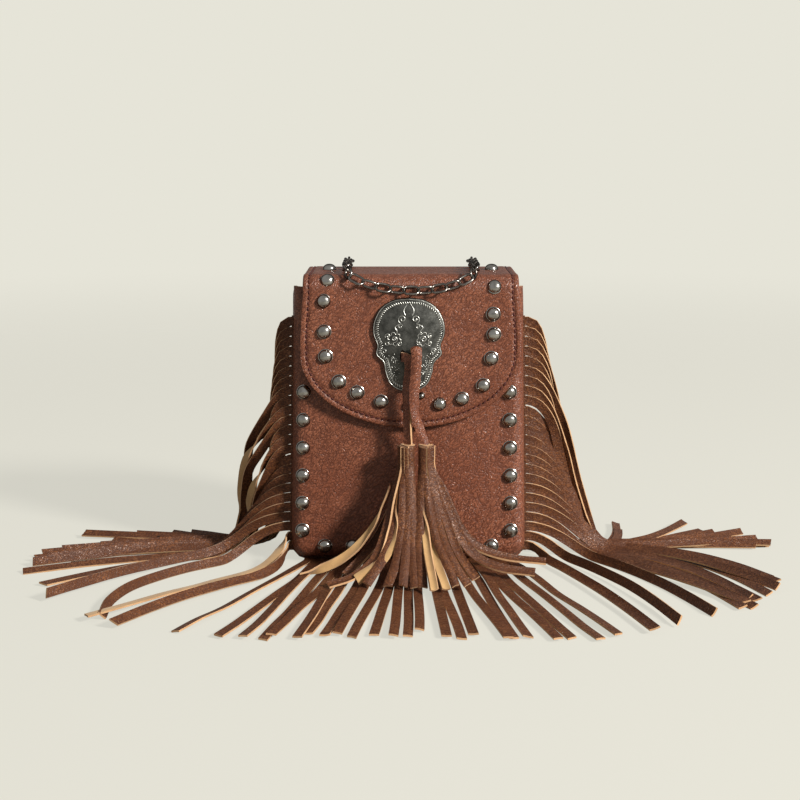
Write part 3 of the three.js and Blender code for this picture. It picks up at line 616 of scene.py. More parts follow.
def makeFlap():
    middle = flap["thickness"] / 2
    rows = len(flapProfile(0, 0)) - 1

    def shape(u, v):
        turn = (u - 0.5) * math.pi
        spread = math.sin(turn)
        k = round(v * rows)
        y, z = flapProfile(flap["halfFront"] * spread, middle)[k]
        x = flapHalf(y, z) * spread
        fade = 1 - abs(spread) ** 8
        if z < flap["top"] - 12:
            y += 0.45 * noise.noise(Vector((x / 30, 7, z / 24))) * fade
        else:
            z += 0.35 * noise.noise(Vector((x / 26, y / 20, 3))) * fade * smooth((24 - y) / 20)
        return at(flap["shift"] + x, y, z)

    # columns run from right to left, so that the outer side faces out
    sheet = addSheet("flapLeather", flap["columns"], rows, lambda u, v: shape(1 - u, v))
    mesh = sheet.data
    places = np.array([v.co for v in mesh.vertices]) / mm
    across = flap["columns"] + 1
    grid = places.reshape(rows + 1, across, 3)
    edge = np.concatenate([grid[:, 0], grid[-1], grid[:, -1]])
    group = sheet.vertex_groups.new(name="thickness")
    for index, place in enumerate(places):
        distance = float(np.sqrt(((edge - place) ** 2).sum(1).min()))
        rounding = math.sqrt(max(0, 1 - (1 - min(distance / flap["edgeRound"], 1)) ** 2))
        fullness = flap["fullEdge"] + (1 - flap["fullEdge"]) * rounding
        groove = math.exp(-((distance - flap["stitchInset"]) / flap["grooveWidth"]) ** 2)
        fullness -= flap["grooveDepth"] * groove
        pillow = flap["pillow"] * math.exp(-((distance - flap["pillowAt"]) / flap["pillowWidth"]) ** 2)
        group.add([index], min(max(fullness + pillow, 0), flap["fullest"]) / flap["fullest"], "REPLACE")
    wall = sheet.modifiers.new("wall", "SOLIDIFY")
    wall.thickness = flap["thickness"] * flap["fullest"] * mm
    wall.offset = 0
    wall.vertex_group = "thickness"
    wall.material_offset = 1
    dress(sheet, bodyLeather, suedeBack)
    applyAll(sheet)
    softShade(sheet, 60)
    return sheet


flapLeather = makeFlap()
print("flap made")

# Saddle stitches set in a groove round the flap
stitch = {"length": 2.4, "pitch": 3.3, "radius": 0.58, "slant": 0.24, "standOut": 0.4, "hemInset": 3.2}


def makeStitchModel():
    deselect()
    bpy.ops.mesh.primitive_uv_sphere_add(segments=8, ring_count=6, radius=stitch["radius"] * mm,
                                         rotation=(0, math.pi / 2, 0))
    model = bpy.context.object
    bpy.ops.object.transform_apply(location=False, rotation=True, scale=False)
    bulk = (stitch["length"] / 2 - stitch["radius"]) * mm
    for vertex in model.data.vertices:
        vertex.co.x += math.copysign(bulk, vertex.co.x) if abs(vertex.co.x) > 1e-7 else 0
        vertex.co.z *= 0.8
    return model


def evenPoints(points, pitch):
    lengths = [0.0]
    for a, b in zip(points, points[1:]):
        lengths.append(lengths[-1] + (b - a).length)
    count = int(lengths[-1] / pitch)
    spots = []
    for k in range(count + 1):
        reach = (k + 0.5) * lengths[-1] / (count + 1)
        index = max(i for i, s in enumerate(lengths) if s <= reach)
        index = min(index, len(points) - 2)
        share = (reach - lengths[index]) / max(lengths[index + 1] - lengths[index], 1e-9)
        spots.append((points[index].lerp(points[index + 1], share), (points[index + 1] - points[index]).normalized()))
    return spots


def sewAlong(carrier, line, name):
    stitches = []
    for number, (spot, along) in enumerate(evenPoints(line, stitch["pitch"] * mm)):
        _, place, normal, _ = carrier.closest_point_on_mesh(spot)
        run = (along - normal * along.dot(normal)).normalized()
        side = normal.cross(run)
        turn = Matrix((run, side, normal)).transposed().to_4x4()
        slanted = turn @ Matrix.Rotation(stitch["slant"], 4, "Z")
        slanted.translation = place + normal * stitch["radius"] * stitch["standOut"] * mm
        stitches.append(copyMesh(stitchModel, f"{name}{number}", slanted))
    row = joinPieces(stitches, name)
    softShade(row, 60)
    dress(row, threadLook)
    return row


def flapStitchLine():
    inset = flap["stitchInset"]
    points = []
    for y, z in flapProfile(flap["halfFront"], 0):
        points.append((flapHalf(y, z) - inset, y, z))
    halfX = flap["halfFront"] - inset
    drop = flap["shoulder"] - flap["hem"] - inset
    cut = [p for p in points if p[2] > flap["shoulder"] + 0.5]
    curve = []
    for k in range(1, 60):
        turn = math.pi * k / 60
        curve.append((halfX * math.cos(turn), -flap["face"], flap["shoulder"] - drop * math.sin(turn)))
    left = [(-x, y, z) for x, y, z in reversed(cut)]
    return [at(flap["shift"] + x, y, z) for x, y, z in cut + curve + left]


stitchModel = makeStitchModel()
flapStitches = sewAlong(flapLeather, flapStitchLine(), "flapStitches")
for piece in (flapLeather, flapStitches):
    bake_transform(piece)
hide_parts("flap")

for carrier, facing, bulge, height, name in (
        (frontPanel, -1, bag["frontBulge"], bag["frontHeight"], "frontHemStitches"),
        (backPanel, 1, bag["backBulge"], bag["backHeight"], "backHemStitches")):
    hemLine = [at(x, facing * (bag["seamDepth"] / 2 + panelDepth(x, 163, bulge)), height - stitch["hemInset"])
               for x in range(-64, 65, 4)]
    finish(sewAlong(carrier, hemLine, name), "bag", "body_leather")
print("stitches made")

# Dome studs
studs = {
    "radius": 4.05, "height": 3.5, "solidHeight": 3.4, "beadRadius": 1.95, "beadHeight": 3.0, "segments": 32,
    "rings": 20, "sink": 0.2, "topBack": 20, "flange": 1.09, "flangeTop": 0.12,
}

# how far the hand-set studs stand off their even places, across and up
studShifts = {
    "flap_stud_1": (0.4, 2.6), "flap_stud_2": (-1.8, 4.4), "flap_stud_3": (-1.8, 0.8), "flap_stud_4": (-1.0, 0.6),
    "flap_stud_5": (0.2, -1.4), "flap_stud_7": (-0.8, -0.4), "flap_stud_8": (0, -0.5), "flap_stud_9": (0.2, -1.8),
    "flap_stud_10": (-1.4, -3.8), "flap_stud_11": (0.2, -3.5), "flap_stud_12": (-1.8, -0.6),
    "flap_stud_13": (-0.4, -0.8), "flap_stud_14": (-0.8, -3.3), "flap_stud_15": (-0.2, -1.2),
}


def makeDome(radius, height, name):
    deselect()
    bpy.ops.mesh.primitive_uv_sphere_add(segments=studs["segments"], ring_count=studs["rings"], radius=1)
    dome = bpy.context.object
    dome.name = name
    bpy.ops.object.mode_set(mode="EDIT")
    bpy.ops.mesh.select_all(action="SELECT")
    bpy.ops.mesh.bisect(plane_co=(0, 0, 0.02), plane_no=(0, 0, 1), clear_inner=True, use_fill=False)
    bpy.ops.mesh.select_all(action="SELECT")
    bpy.ops.mesh.select_non_manifold()
    bpy.ops.mesh.extrude_region_move(TRANSFORM_OT_translate={"value": (0, 0, -0.06)})
    bpy.ops.transform.resize(value=(studs["flange"], studs["flange"], 1))
    bpy.ops.mesh.extrude_region_move(TRANSFORM_OT_translate={"value": (0, 0, -0.05)})
    bpy.ops.mesh.edge_face_add()
    bpy.ops.object.mode_set(mode="OBJECT")
    for vertex in dome.data.vertices:
        flat = 1 - 0.12 * max(vertex.co.z, 0) ** 2
        vertex.co = Vector((vertex.co.x * radius, vertex.co.y * radius, vertex.co.z * height * flat * 1.12)) * mm
    dress(dome, studMetal, paintedContactShade)
    # the faces at the foot of the dome get the painted contact shadow
    for face in dome.data.polygons:
        face.material_index = 1 if face.center.z < studs["flangeTop"] * mm else 0
    softShade(dome, 35)
    return dome


domeModel = makeDome(studs["radius"], studs["height"], "domeModel")
beadModel = makeDome(studs["beadRadius"], studs["beadHeight"], "beadModel")


def studOutward(node):
    low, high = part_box(node)
    centre = (low + high) / 2
    if node.startswith("top_stud"):
        return Vector((0, 0, 1))
    foldStart = (flap["top"] - flap["frontBend"]) * mm
    if node.startswith("flap_stud") and centre.z > foldStart:
        turn = math.asin(min((centre.z / mm - (flap["top"] - flap["frontBend"])) / flap["frontBend"] * 0.93, 1))
        return Vector((0, -math.cos(turn), math.sin(turn)))
    return Vector((0, -1, 0))


def placeStuds():
    for node in sorted(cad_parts):
        if not ("stud" in node and node != "snap_stud") and node != "bead_rivet":
            continue
        low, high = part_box(node)
        outward = studOutward(node)
        height = studs["beadHeight"] if node == "bead_rivet" else studs["solidHeight"]
        across, up = studShifts.get(node, (0, 0))
        back = studs["topBack"] if node.startswith("top_stud") else 0
        shift = at(across, back, 0) + outward.cross(Vector((1, 0, 0))) * up * mm
        base = (low + high) / 2 + shift - outward * (height / 2 + studs["sink"]) * mm
        turn = Vector((0, 0, 1)).rotation_difference(outward).to_matrix().to_4x4()
        spin = Matrix.Rotation((len(node) * 7 + ord(node[-1])) % 9 * 0.3, 4, "Z")
        move = Matrix.Translation(base) @ turn @ spin
        model = beadModel if node == "bead_rivet" else domeModel
        piece = copyMesh(model, "dome_" + node, move)
        # the second look is the painted contact shadow at the stud's foot
        dress(piece, studMetal, paintedContactShade)
        body = "bag" if node.startswith("front_stud") else "flap"
        finish(piece, body, "dark_metal", node)
    for model in (domeModel, beadModel):
        bpy.data.objects.remove(model)


placeStuds()
print("studs made")


# Smooth line through a few points, with a direction of the width at each, sampled evenly.
def throughPoints(points, across, count):
    pts = [Vector(p) for p in points]
    pts = [pts[0] * 2 - pts[1]] + pts + [pts[-1] * 2 - pts[-2]]
    wide = [Vector(a) for a in across]
    places, widths = [], []
    for k in range(len(points) - 1):
        p0, p1, p2, p3 = pts[k:k + 4]
        d0 = max((p1 - p0).length, 1e-6) ** 0.5
        d1 = max((p2 - p1).length, 1e-6) ** 0.5
        d2 = max((p3 - p2).length, 1e-6) ** 0.5
        m1 = (p1 - p0) / d0 - (p2 - p0) / (d0 + d1) + (p2 - p1) / d1
        m2 = (p2 - p1) / d1 - (p3 - p1) / (d1 + d2) + (p3 - p2) / d2
        m1 *= d1
        m2 *= d1
        for i in range(10):
            t = i / 10
            places.append(p1 * (2 * t ** 3 - 3 * t ** 2 + 1) + m1 * (t ** 3 - 2 * t ** 2 + t)
                          + p2 * (3 * t ** 2 - 2 * t ** 3) + m2 * (t ** 3 - t ** 2))
            widths.append(wide[k].lerp(wide[k + 1], smooth(t)))
    places.append(pts[-2])
    widths.append(wide[-1])
    places = np.array(places)
    widths = np.array(widths)
    steps = np.concatenate([[0], np.cumsum(np.linalg.norm(np.diff(places, axis=0), axis=1))])
    even = np.linspace(0, steps[-1], count)
    centre = np.stack([np.interp(even, steps, places[:, k]) for k in range(3)], 1)
    wide = np.stack([np.interp(even, steps, widths[:, k]) for k in range(3)], 1)
    along = np.gradient(centre, axis=0)
    along /= np.linalg.norm(along, axis=1, keepdims=True)
    wide -= along * (wide * along).sum(1, keepdims=True)
    wide /= np.maximum(np.linalg.norm(wide, axis=1, keepdims=True), 1e-9)
    return centre, along, wide


strap = {"segments": 56, "columns": 4, "thickness": 1.0}


def makeStripModel():
    deselect()
    bpy.ops.mesh.primitive_grid_add(x_subdivisions=strap["columns"], y_subdivisions=strap["segments"], size=2)
    bpy.context.object.name = "stripModel"
    return bpy.context.object


stripModel = makeStripModel()


# A flat strip along a line. The grain side looks along (run of the strip) x (direction of its width).
def layStrip(name, points, across, width, cup=0.25, skew=0.0, narrow=1.0, floor=None):
    centre, along, wide = throughPoints(points, across, strap["segments"] + 1)
    face = np.cross(along, wide)
    piece = copyMesh(stripModel, name, Matrix.Identity(4))
    for vertex in piece.data.vertices:
        side = -vertex.co.x
        share = (vertex.co.y + 1) / 2
        k = round(share * strap["segments"])
        half = width / 2 * (1 + (narrow - 1) * share)
        push = skew * side * width / 2 if k == strap["segments"] else 0
        place = centre[k] + wide[k] * side * half + face[k] * cup * (side * side - 0.4) + along[k] * push
        if floor is not None and place[2] < floor:
            place[2] = floor
        vertex.co = Vector(place) * mm
    return piece


# Side fringe. A strip leaves the seam with its face to the front. High strips fall steeply and lie behind.
# From the first strip number in "arcs" on, they swing out in one long arc to the floor. Each row of "arcs" is
# strip number, landing x and y, and how far the arc runs out of the seam and into the landing.
# "leans" are (drop below the seam, lean): 90 faces the front, 0 lies face up. "loose" strips hang free:
# (further out, lean). "tips" are the ends on the floor, (x, y), from the highest strip down.
sideFringe = {
    "top": 147, "bottom": 9, "strips": 24, "width": 5.5, "seam": -21.0, "seed": 5,
    "leans": [(2, 96), (5, 106), (9, 112), (15, 106), (23, 94), (34, 80)],
    "shares": [0, 0.15, 0.3, 0.6], "pile": 1.05, "footHeight": 11, "hangingLean": 64, "footLean": 45,
    "arcSteps": (0.09, 0.17, 0.26, 0.37, 0.5, 0.64, 0.78, 0.9),
    "arcLeans": [(0, 90), (0.15, 102), (0.35, 104), (0.6, 82)],
    "right": {
        "run": 5.5, "back": (26, 14),
        "tilts": [(0, 18), (6, 24), (10, 26), (12, 26), (15, 20), (16, 28), (20, 22), (21, 62), (22, 50), (23, 30)],
        "bends": [5, 8, 10, 12], "decays": [7, 7, 7, 7], "slopes": [0.12, 0.13, 0.15, 0.2],
        "curves": [0.7, 0.8, 1.2, 2.0], "turns": {}, "loose": {2: (4, 112), 5: (7, 118), 7: (4, 126)},
        "arcs": [(9, 112, 10, 22, 8), (11, 119, 10, 22, 10), (12, 126, 5, 23, 16), (15, 130, 0, 26, 22),
                 (16, 129, -9, 27, 24), (19, 125, -18, 26, 26), (21, 113, -27, 20, 22), (22, 98, -31, 13, 16),
                 (23, 84, -37, 8, 9)],
        "tips": [(139, 70), (138, 50), (184, 66), (193, 50), (199, 40), (207, 28), (218, 45), (207, 24), (222, 16),
                 (227, 12), (219, 4), (229, 8), (212, -74), (213, -80), (210, -97), (204, -103), (190, -117),
                 (193, -122), (190, -130), (183, -133), (186, -126), (165, -145), (143, -164), (128, -178)],
    },
    "left": {
        "run": 4.2, "back": (44, 30),
        "tilts": [(0, 22), (6, 34), (9, 46), (16, 50), (18, 16), (19, 14), (20, 64), (21, 66), (22, 40), (23, 36)],
        "bends": [4, 6, 7, 8], "decays": [5, 5, 5, 5], "slopes": [0.02, 0.03, 0.04, 0.05],
        "curves": [0.1, 0.2, 0.3, 0.4],
        "loose": {7: (16, 104), 9: (19, 226), 10: (17, 110), 12: (14, 232), 13: (11, 120), 22: (0, 178)},
        "turns": {21: (176, -84), 20: (160, -62)},
        "arcs": [(14, 104, 6, 15, 10), (16, 114, 1, 22, 18), (18, 126, -12, 26, 22),
                 (20, 126, -27, 28, 26), (21, 111, -33, 22, 22), (22, 99, -72, 7, 34), (23, 90, -77, 5, 32)],
        "tips": [(141, 42), (153, 39), (158, 20), (189, 24), (175, 34), (209, 33), (188, 2), (197, -8), (192, -4),
                 (200, -20), (214, -11), (224, -22), (206, -26), (226, -30), (217, -35), (212, -22), (226, -41),
                 (222, -36), (229, -55), (211, -84), (202, -116), (165, -151), (173, -155), (156, -168)],
    },
}


ahead = Vector((1, 0, 0))


# The marks of a strip are its place, the direction of its run over the floor and its lean. It is laid out on
# the right. First the steep fall beside the bag, down to the foot just above the floor.
def fallingMarks(strip, look, rng):
    root, fall, tilt, away, looseLean = (strip[key] for key in ("root", "fall", "tilt", "away", "looseLean"))
    bend, decay, slope, curve = (float(np.interp(strip["share"], sideFringe["shares"], look[key]))
                                 for key in ("bends", "decays", "slopes", "curves"))
    back = look["back"][0] + (look["back"][1] - look["back"][0]) * min(strip["share"] * 2, 1)
    jitter = rng.uniform(-1, 1)

    def falling(drop):
        out = look["run"] + bend * (1 - math.exp(-drop / decay)) + slope * drop
        out += curve * 0.001 * drop * drop + away * smooth(drop / 45) + jitter * smooth(drop / 25)
        return Vector((root.x + out, root.y + back * smooth(drop / 70), root.z - drop))

    marks = [(root + Vector((look["run"] * 0.6, 0, -0.1)), ahead, 92)]
    footDrop = fall - sideFringe["footHeight"]
    for drop, lean in sideFringe["leans"]:
        lean += rng.uniform(-4, 4)
        if looseLean is not None:
            lean += (looseLean - lean) * smooth((drop - 6) / 30)
        marks.append((falling(drop), ahead, lean))
    for part in (0.4, 0.6, 0.8):
        if 40 < fall * part < footDrop - 8:
            lean = (looseLean or sideFringe["hangingLean"]) + rng.uniform(-12, 12)
            marks.append((falling(fall * part), ahead, lean))
    foot = falling(footDrop)
    marks.append((foot, ahead, (looseLean or sideFringe["footLean"]) * 0.6 + 0.4 * tilt))
    marks.append((Vector((foot.x + 4, foot.y + 0.5, strip["lie"] + 3)), ahead,
                  tilt + (14 if looseLean is None else 30)))
    return marks, Vector((foot.x + 9, foot.y + 1, 0)), ahead


# Or one long arc out of the seam and down to its landing place
def arcMarks(strip, look, rng):
    numbers, *places = zip(*look["arcs"])
    landX, landY, first, last = (float(np.interp(strip["index"], numbers, values)) for values in places)
    start = Vector((landX + rng.uniform(-2, 2), landY + rng.uniform(-1.5, 1.5), 0))
    straight = (strip["tip"] - start).normalized()
    low = 0.25 + 0.6 * smooth((strip["index"] - 11) / 11)
    leaving = (ahead * (1 - low) + straight * low).normalized()
    landing = start + Vector((0, 0, strip["lie"]))
    bars = [strip["root"], strip["root"] + ahead * (first + strip["away"]),
            landing - leaving * last + Vector((0, 0, 0.02 * strip["fall"])), landing]
    shares, leans = zip(*sideFringe["arcLeans"], (1, strip["tilt"]))
    marks = []
    for u in sideFringe["arcSteps"]:
        place = (bars[0] * (1 - u) ** 3 + bars[1] * 3 * u * (1 - u) ** 2 + bars[2] * 3 * u * u * (1 - u)
                 + bars[3] * u ** 3)
        run = ((bars[1] - bars[0]) * (1 - u) ** 2 + (bars[2] - bars[1]) * 2 * u * (1 - u)
               + (bars[3] - bars[2]) * u * u)
        lean = float(np.interp(u, shares, leans)) + rng.uniform(-4, 4)
        if strip["looseLean"] is not None:
            lean += (strip["looseLean"] - lean) * smooth((u - 0.1) / 0.5)
        marks.append((place, Vector((run.x, run.y, 0)).normalized(), lean))
    return marks, start, leaving


# Then over the floor in a slow bend to its tip
def floorMarks(strip, look, rng, start, leaving):
    tip, index = strip["tip"], strip["index"]
    ending = strip["looseLean"] if strip["looseLean"] is not None and index > 20 else strip["tilt"]
    reach = 0.3 if leaving is ahead else 0.42
    turn = start + leaving * (tip - start).length * reach
    if index in look["turns"]:
        turn = Vector((*look["turns"][index], 0))
    sweep = rng.uniform(-2.5, 2.5)
    marks = []
    for part in (0.08, 0.22, 0.4, 0.6, 0.8, 1.0) if leaving is ahead else (0.0, 0.16, 0.34, 0.55, 0.78, 1.0):
        place = start * (1 - part) ** 2 + turn * 2 * part * (1 - part) + tip * part ** 2
        forward = ((turn - start) * (1 - part) + (tip - turn) * part).normalized()
        aside = Vector((-forward.y, forward.x, 0))
        place = place + aside * sweep * math.sin(math.pi * part) + Vector((0, 0, strip["lie"]))
        place.z += rng.uniform(0, 1.2) * smooth((part - 0.3) * 3) * (1 - part)
        marks.append((place, forward, ending + rng.uniform(-7, 7)))
    return marks


def sideStrip(side, index, look):
    rng = random.Random(sideFringe["seed"] * 100 + index + (50 if side > 0 else 0))
    share = index / (sideFringe["strips"] - 1)
    rootZ = sideFringe["top"] + (sideFringe["bottom"] - sideFringe["top"]) * share
    root = Vector((halfWidth(rootZ), sideFringe["seam"], rootZ))
    tilt = float(np.interp(index, *zip(*look["tilts"]))) + rng.uniform(-6, 6) + (4 - 8 * (index % 2))
    lie = strap["thickness"] * 0.6 + sideFringe["width"] / 2 * math.sin(math.radians(tilt))
    lie += sideFringe["pile"] * (index % 3)
    away, looseLean = look["loose"].get(index, (0, None))
    strip = {"index": index, "share": share, "root": root, "tip": Vector((*look["tips"][index], 0)), "tilt": tilt,
             "lie": lie, "fall": rootZ - lie, "away": away, "looseLean": looseLean}
    lay = fallingMarks if index < look["arcs"][0][0] else arcMarks
    marks, start, leaving = lay(strip, look, rng)
    marks = [(root + ahead * reach, ahead, 90) for reach in (-1.5, 0.8)] + marks
    marks += floorMarks(strip, look, rng, start, leaving)
    points, across = [], []
    for k, (place, forward, lean) in enumerate(marks):
        course = (marks[min(k + 1, len(marks) - 1)][0] - marks[max(k - 1, 0)][0]).normalized()
        flatWide = Vector((-forward.y, forward.x, 0))
        lean = math.radians(lean)
        wide = flatWide * math.cos(lean) + course.cross(flatWide) * math.sin(lean)
        points.append(Vector((place.x * side, place.y, place.z)))
        across.append(Vector((wide.x * side, wide.y, wide.z)) * side)
    return layStrip("strip", points, across, sideFringe["width"], cup=rng.uniform(0.05, 0.35),
                    skew=rng.uniform(-0.5, 0.5), floor=strap["thickness"] * 0.7)


def seamBand(name, outline):
    def shape(u, v):
        k = min(int(v * (len(outline) - 1)), len(outline) - 2)
        share = v * (len(outline) - 1) - k
        inner = Vector(outline[k][0]).lerp(Vector(outline[k + 1][0]), share)
        outer = Vector(outline[k][1]).lerp(Vector(outline[k + 1][1]), share)
        return inner.lerp(outer, u) * mm

    return addSheet(name, 1, 40, shape)


def makeSideFringe(side, name, node):
    look = sideFringe["right" if side > 0 else "left"]
    strips = [sideStrip(side, k, look) for k in range(sideFringe["strips"])]
    low, high = sideFringe["bottom"] - 3, sideFringe["top"] + 3.5
    outline = []
    for z in (low, high):
        edge = halfWidth(z)
        ends = [(side * (edge - 3), sideFringe["seam"], z), (side * (edge + 1.2), sideFringe["seam"], z)]
        outline.append(ends if side > 0 else ends[::-1])
    strips.append(seamBand("band", outline))
    fringe = joinPieces(strips, name)
    thicken(fringe, strap["thickness"], fringeLeather, suedeBack, cutEdge)
    finish(fringe, "bag", "fringe_leather", node)


makeSideFringe(1, "fringeRight", "fringe_right")
makeSideFringe(-1, "fringeLeft", "fringe_left")
print("side fringe made")

# Bottom fringe: out of the lower seam, under the rolled edge and forwards over the floor
bottomFringe = {
    "span": 122, "seam": -21.0, "width": 5.3, "seed": 11,
    "tips": [(-122, -175), (-97, -185), (-88, -187), (-76, -188), (-70, -183), (-60, -188), (-54, -179), (-43, -184),
             (-37, -181), (-28, -185), (-18, -182), (-9, -186), (-2, -184), (4, -174), (19, -185), (25, -187),
             (33, -181), (49, -189), (55, -188), (62, -186), (75, -190), (83, -186), (99, -190), (109, -182)],
}


def bottomStrip(index):
    rng = random.Random(bottomFringe["seed"] * 100 + index)
    count = len(bottomFringe["tips"])
    rootX = (index / (count - 1) - 0.5) * bottomFringe["span"]
    tipX, tipY = bottomFringe["tips"][index]
    seam = bottomFringe["seam"]
    lie = strap["thickness"] + 0.1 + 0.5 * (index % 3)
    lean = math.radians(rng.uniform(-12, 12))
    points = [(rootX, seam, 4.2), (rootX, seam - 0.2, 2.6), (rootX, seam - 1.6, 1.5), (rootX, seam - 5, 1.35)]
    across = [(1, 0, 0)] * 4
    sway = rng.uniform(-2.2, 2.2)
    for part in (0.12, 0.3, 0.5, 0.7, 0.86, 1.0):
        x = rootX + (tipX - rootX) * (0.85 * part + 0.15 * part * part) + sway * math.sin(part * math.pi * 1.5)
        y = seam - 5 + (tipY - seam + 5) * part
        lift = rng.uniform(0, 1.8) * smooth(part * 3) * (1 - 0.6 * part)
        points.append((x, y, lie + lift + abs(math.sin(lean)) * bottomFringe["width"] / 2))
        across.append((math.cos(lean), 0, math.sin(lean) * smooth(part * 2)))
    return layStrip("strip", points, across, bottomFringe["width"], cup=rng.uniform(-0.3, 0.3),
                    skew=rng.uniform(-0.35, 0.35), floor=strap["thickness"])


def makeBottomFringe():
    strips = [bottomStrip(k) for k in range(len(bottomFringe["tips"]))]
    half = bottomFringe["span"] / 2 + 2.5
    seam = bottomFringe["seam"]
    outline = [[(x, seam, 3.2), (x, seam, 6.6)] for x in (half, -half)]
    strips.append(seamBand("band", outline))
    fringe = joinPieces(strips, "fringeBottom")
    thicken(fringe, strap["thickness"], fringeLeather, suedeBack, cutEdge)
    finish(fringe, "bag", "fringe_leather", "fringe_bottom")


makeBottomFringe()
print("bottom fringe made")

# Tassels: a rolled head and strands that fall and lie forwards. A strand is its points from the head down and
# its turn at the start and the end: 0 shows the grain side, 180 the back.
tassels = {
    "headTop": 77, "headBottom": 62, "headRadius": 4.1, "y": -48.6, "turns": 2.3, "coreRadius": 2.6, "width": 5.2,
    "thickness": 1.1, "headRows": 12, "headColumns": 88, "floor": 3.2,
    "left": {
        "centre": -0.6,
        "strands": [
            ([(-6.2, -50.3, 62), (-13.9, -55.1, 42), (-21.5, -59.4, 28), (-33.2, -63.7, 15.6), (-46.1, -66.3, 8.4),
              (-63.6, -69, 4)], 62, 204),
            ([(-4.8, -50.6, 62), (-9.9, -59.2, 45.8), (-13.7, -70.2, 30.4), (-20, -82.6, 16.5), (-32.5, -91.5, 8),
              (-46, -96, 4.5)], -70, -30),
            ([(-4, -51.2, 61), (-5.4, -59, 48), (-8.6, -69.4, 33), (-14.4, -83.9, 18), (-23.9, -99, 6.1)], -34, 10),
            ([(-2.6, -50.7, 62.1), (-4, -59, 46), (-7, -70.4, 30), (-15, -84, 16), (-30, -93, 6.4)], -14, 186),
            ([(-2.1, -52.7, 62.1), (-2.8, -61, 48), (-4.0, -73.8, 31), (-7.0, -87.8, 16.7), (-12, -101, 5.5)], 20, -16),
            ([(0.3, -52.7, 62.1), (0.0, -62, 47), (-0.6, -74.8, 30), (-3.2, -102, 5.8)], -20, 18),
            ([(1.6, -51.7, 62.1), (2.0, -62, 46), (2.0, -77.8, 26.3), (3.6, -103, 5.1)], 28, -10),
            ([(-2, -46.5, 62), (-9, -50, 40), (-20, -58, 20), (-36, -78, 6)], -15, -25),
        ],
    },
    "right": {
        "centre": 9.9,
        "strands": [
            ([(7.8, -52.5, 62.1), (7.0, -64, 42), (6.8, -80.3, 24.4), (8.2, -103.5, 5.4)], -22, 16),
            ([(8.4, -50.1, 60.3), (9.4, -60, 44), (10.8, -82.6, 22.5), (14.2, -110, 5)], 52, 186),
            ([(9.6, -49.7, 60.2), (11.2, -60, 43), (14.3, -82.1, 21.1), (21.0, -107, 4.6)], 30, 196),
            ([(10.2, -52.7, 62.1), (12.4, -64, 43), (15.9, -78.9, 27.3), (21.3, -92.2, 16.9), (26.4, -104, 6.4)],
             26, -14),
            ([(11.6, -52.4, 62.1), (14.6, -62, 44), (19, -74.8, 29), (25.5, -89.8, 16.8), (33.4, -101, 6.1)], -10, 14),
            ([(12.4, -51, 63.3), (16.6, -57, 49), (21.6, -65.1, 36), (28.8, -79.1, 19.2), (38.4, -92, 7.3)], 34, 4),
            ([(13.4, -50, 63.8), (18.4, -53, 52), (24.2, -58.2, 38.9), (30.6, -63.7, 24.6), (39.7, -67.7, 14.2),
              (53.4, -71.7, 8.6), (73.8, -73, 6)], 18, 12),
            ([(13.8, -48, 63.9), (20.8, -49, 49.8), (27.5, -50, 34.5), (33.5, -50, 23.3), (43.7, -50, 14.3),
              (60.6, -50, 8.9), (82.1, -50, 6.5)], 50, 25),
            ([(11.6, -46, 62), (15, -48, 44), (19, -56, 28), (27, -70, 12), (36, -78, 5)], -30, -10),
        ],
    },
}


def tasselHead(centre):
    def shape(u, v):
        turn = u * tassels["turns"] * 2 * math.pi
        radius = tassels["coreRadius"] + (tassels["headRadius"] - tassels["coreRadius"]) * u
        z = tassels["headBottom"] + (tassels["headTop"] - tassels["headBottom"]) * v
        waist = 1 + 0.12 * (1 - smooth(v * 3)) - 0.04 * math.sin(math.pi * v) + 0.1 * smooth((v - 0.9) * 10)
        x = centre + radius * waist * math.cos(-turn + 2.0)
        y = tassels["y"] + radius * waist * math.sin(-turn + 2.0)
        return at(x, y, z + 0.25 * math.sin(turn * 1.3))

    return addSheet("head", tassels["headColumns"], tassels["headRows"], lambda u, v: shape(1 - u, v))


def makeTassel(side, name, node):
    look = tassels[side]
    parts = []
    for number, (points, startTurn, endTurn) in enumerate(look["strands"]):
        rng = random.Random(number + (20 if side == "left" else 40))
        # the strand starts at the top of the head and follows its surface down
        aside = max(-1, min(1, (points[0][0] - look["centre"]) / tassels["headRadius"] * 0.9))
        around = math.asin(aside) if points[0][1] < -49 else math.pi - math.asin(aside)
        reach = tassels["headRadius"] + 0.35 + 0.5 * (number % 3)
        spot = (look["centre"] + reach * math.sin(around), tassels["y"] - reach * math.cos(around))
        hanging = (math.cos(around), math.sin(around), 0)
        line = [(*spot, tassels["headTop"] - 0.3 - 0.4 * (number % 3)), (*spot, 70), (*spot, 64.5)]
        across = [hanging, hanging, hanging]
        points = [point for point in points if point[2] < 59 or point is points[0]][1:]
        last = len(points)
        for k, point in enumerate(points, 1):
            turn = math.radians(startTurn + (endTurn - startTurn) * smooth(k / last))
            line.append(point)
            across.append((math.cos(turn), math.sin(turn) * 0.9, math.sin(turn) * 0.25 * k / last))
        parts.append(layStrip("strand", line, across, tassels["width"] + rng.uniform(-0.6, 0.3),
                              cup=rng.choice((-1, 1)) * rng.uniform(0.5, 1.1), skew=rng.uniform(-0.3, 0.3),
                              narrow=1.06, floor=tassels["floor"]))
    parts.append(tasselHead(look["centre"]))
    tassel = joinPieces(parts, name)
    thicken(tassel, tassels["thickness"], fringeLeather, suedeBack, cutEdge)
    finish(tassel, "flap", "fringe_leather", node)


makeTassel("left", "tasselLeft", "tassel_left")
makeTassel("right", "tasselRight", "tassel_right")
print("tassels made")

# Lace: comes out of both slots of the concho and hangs into the tassel heads
laces = {"width": 5.6, "thickness": 1.3}


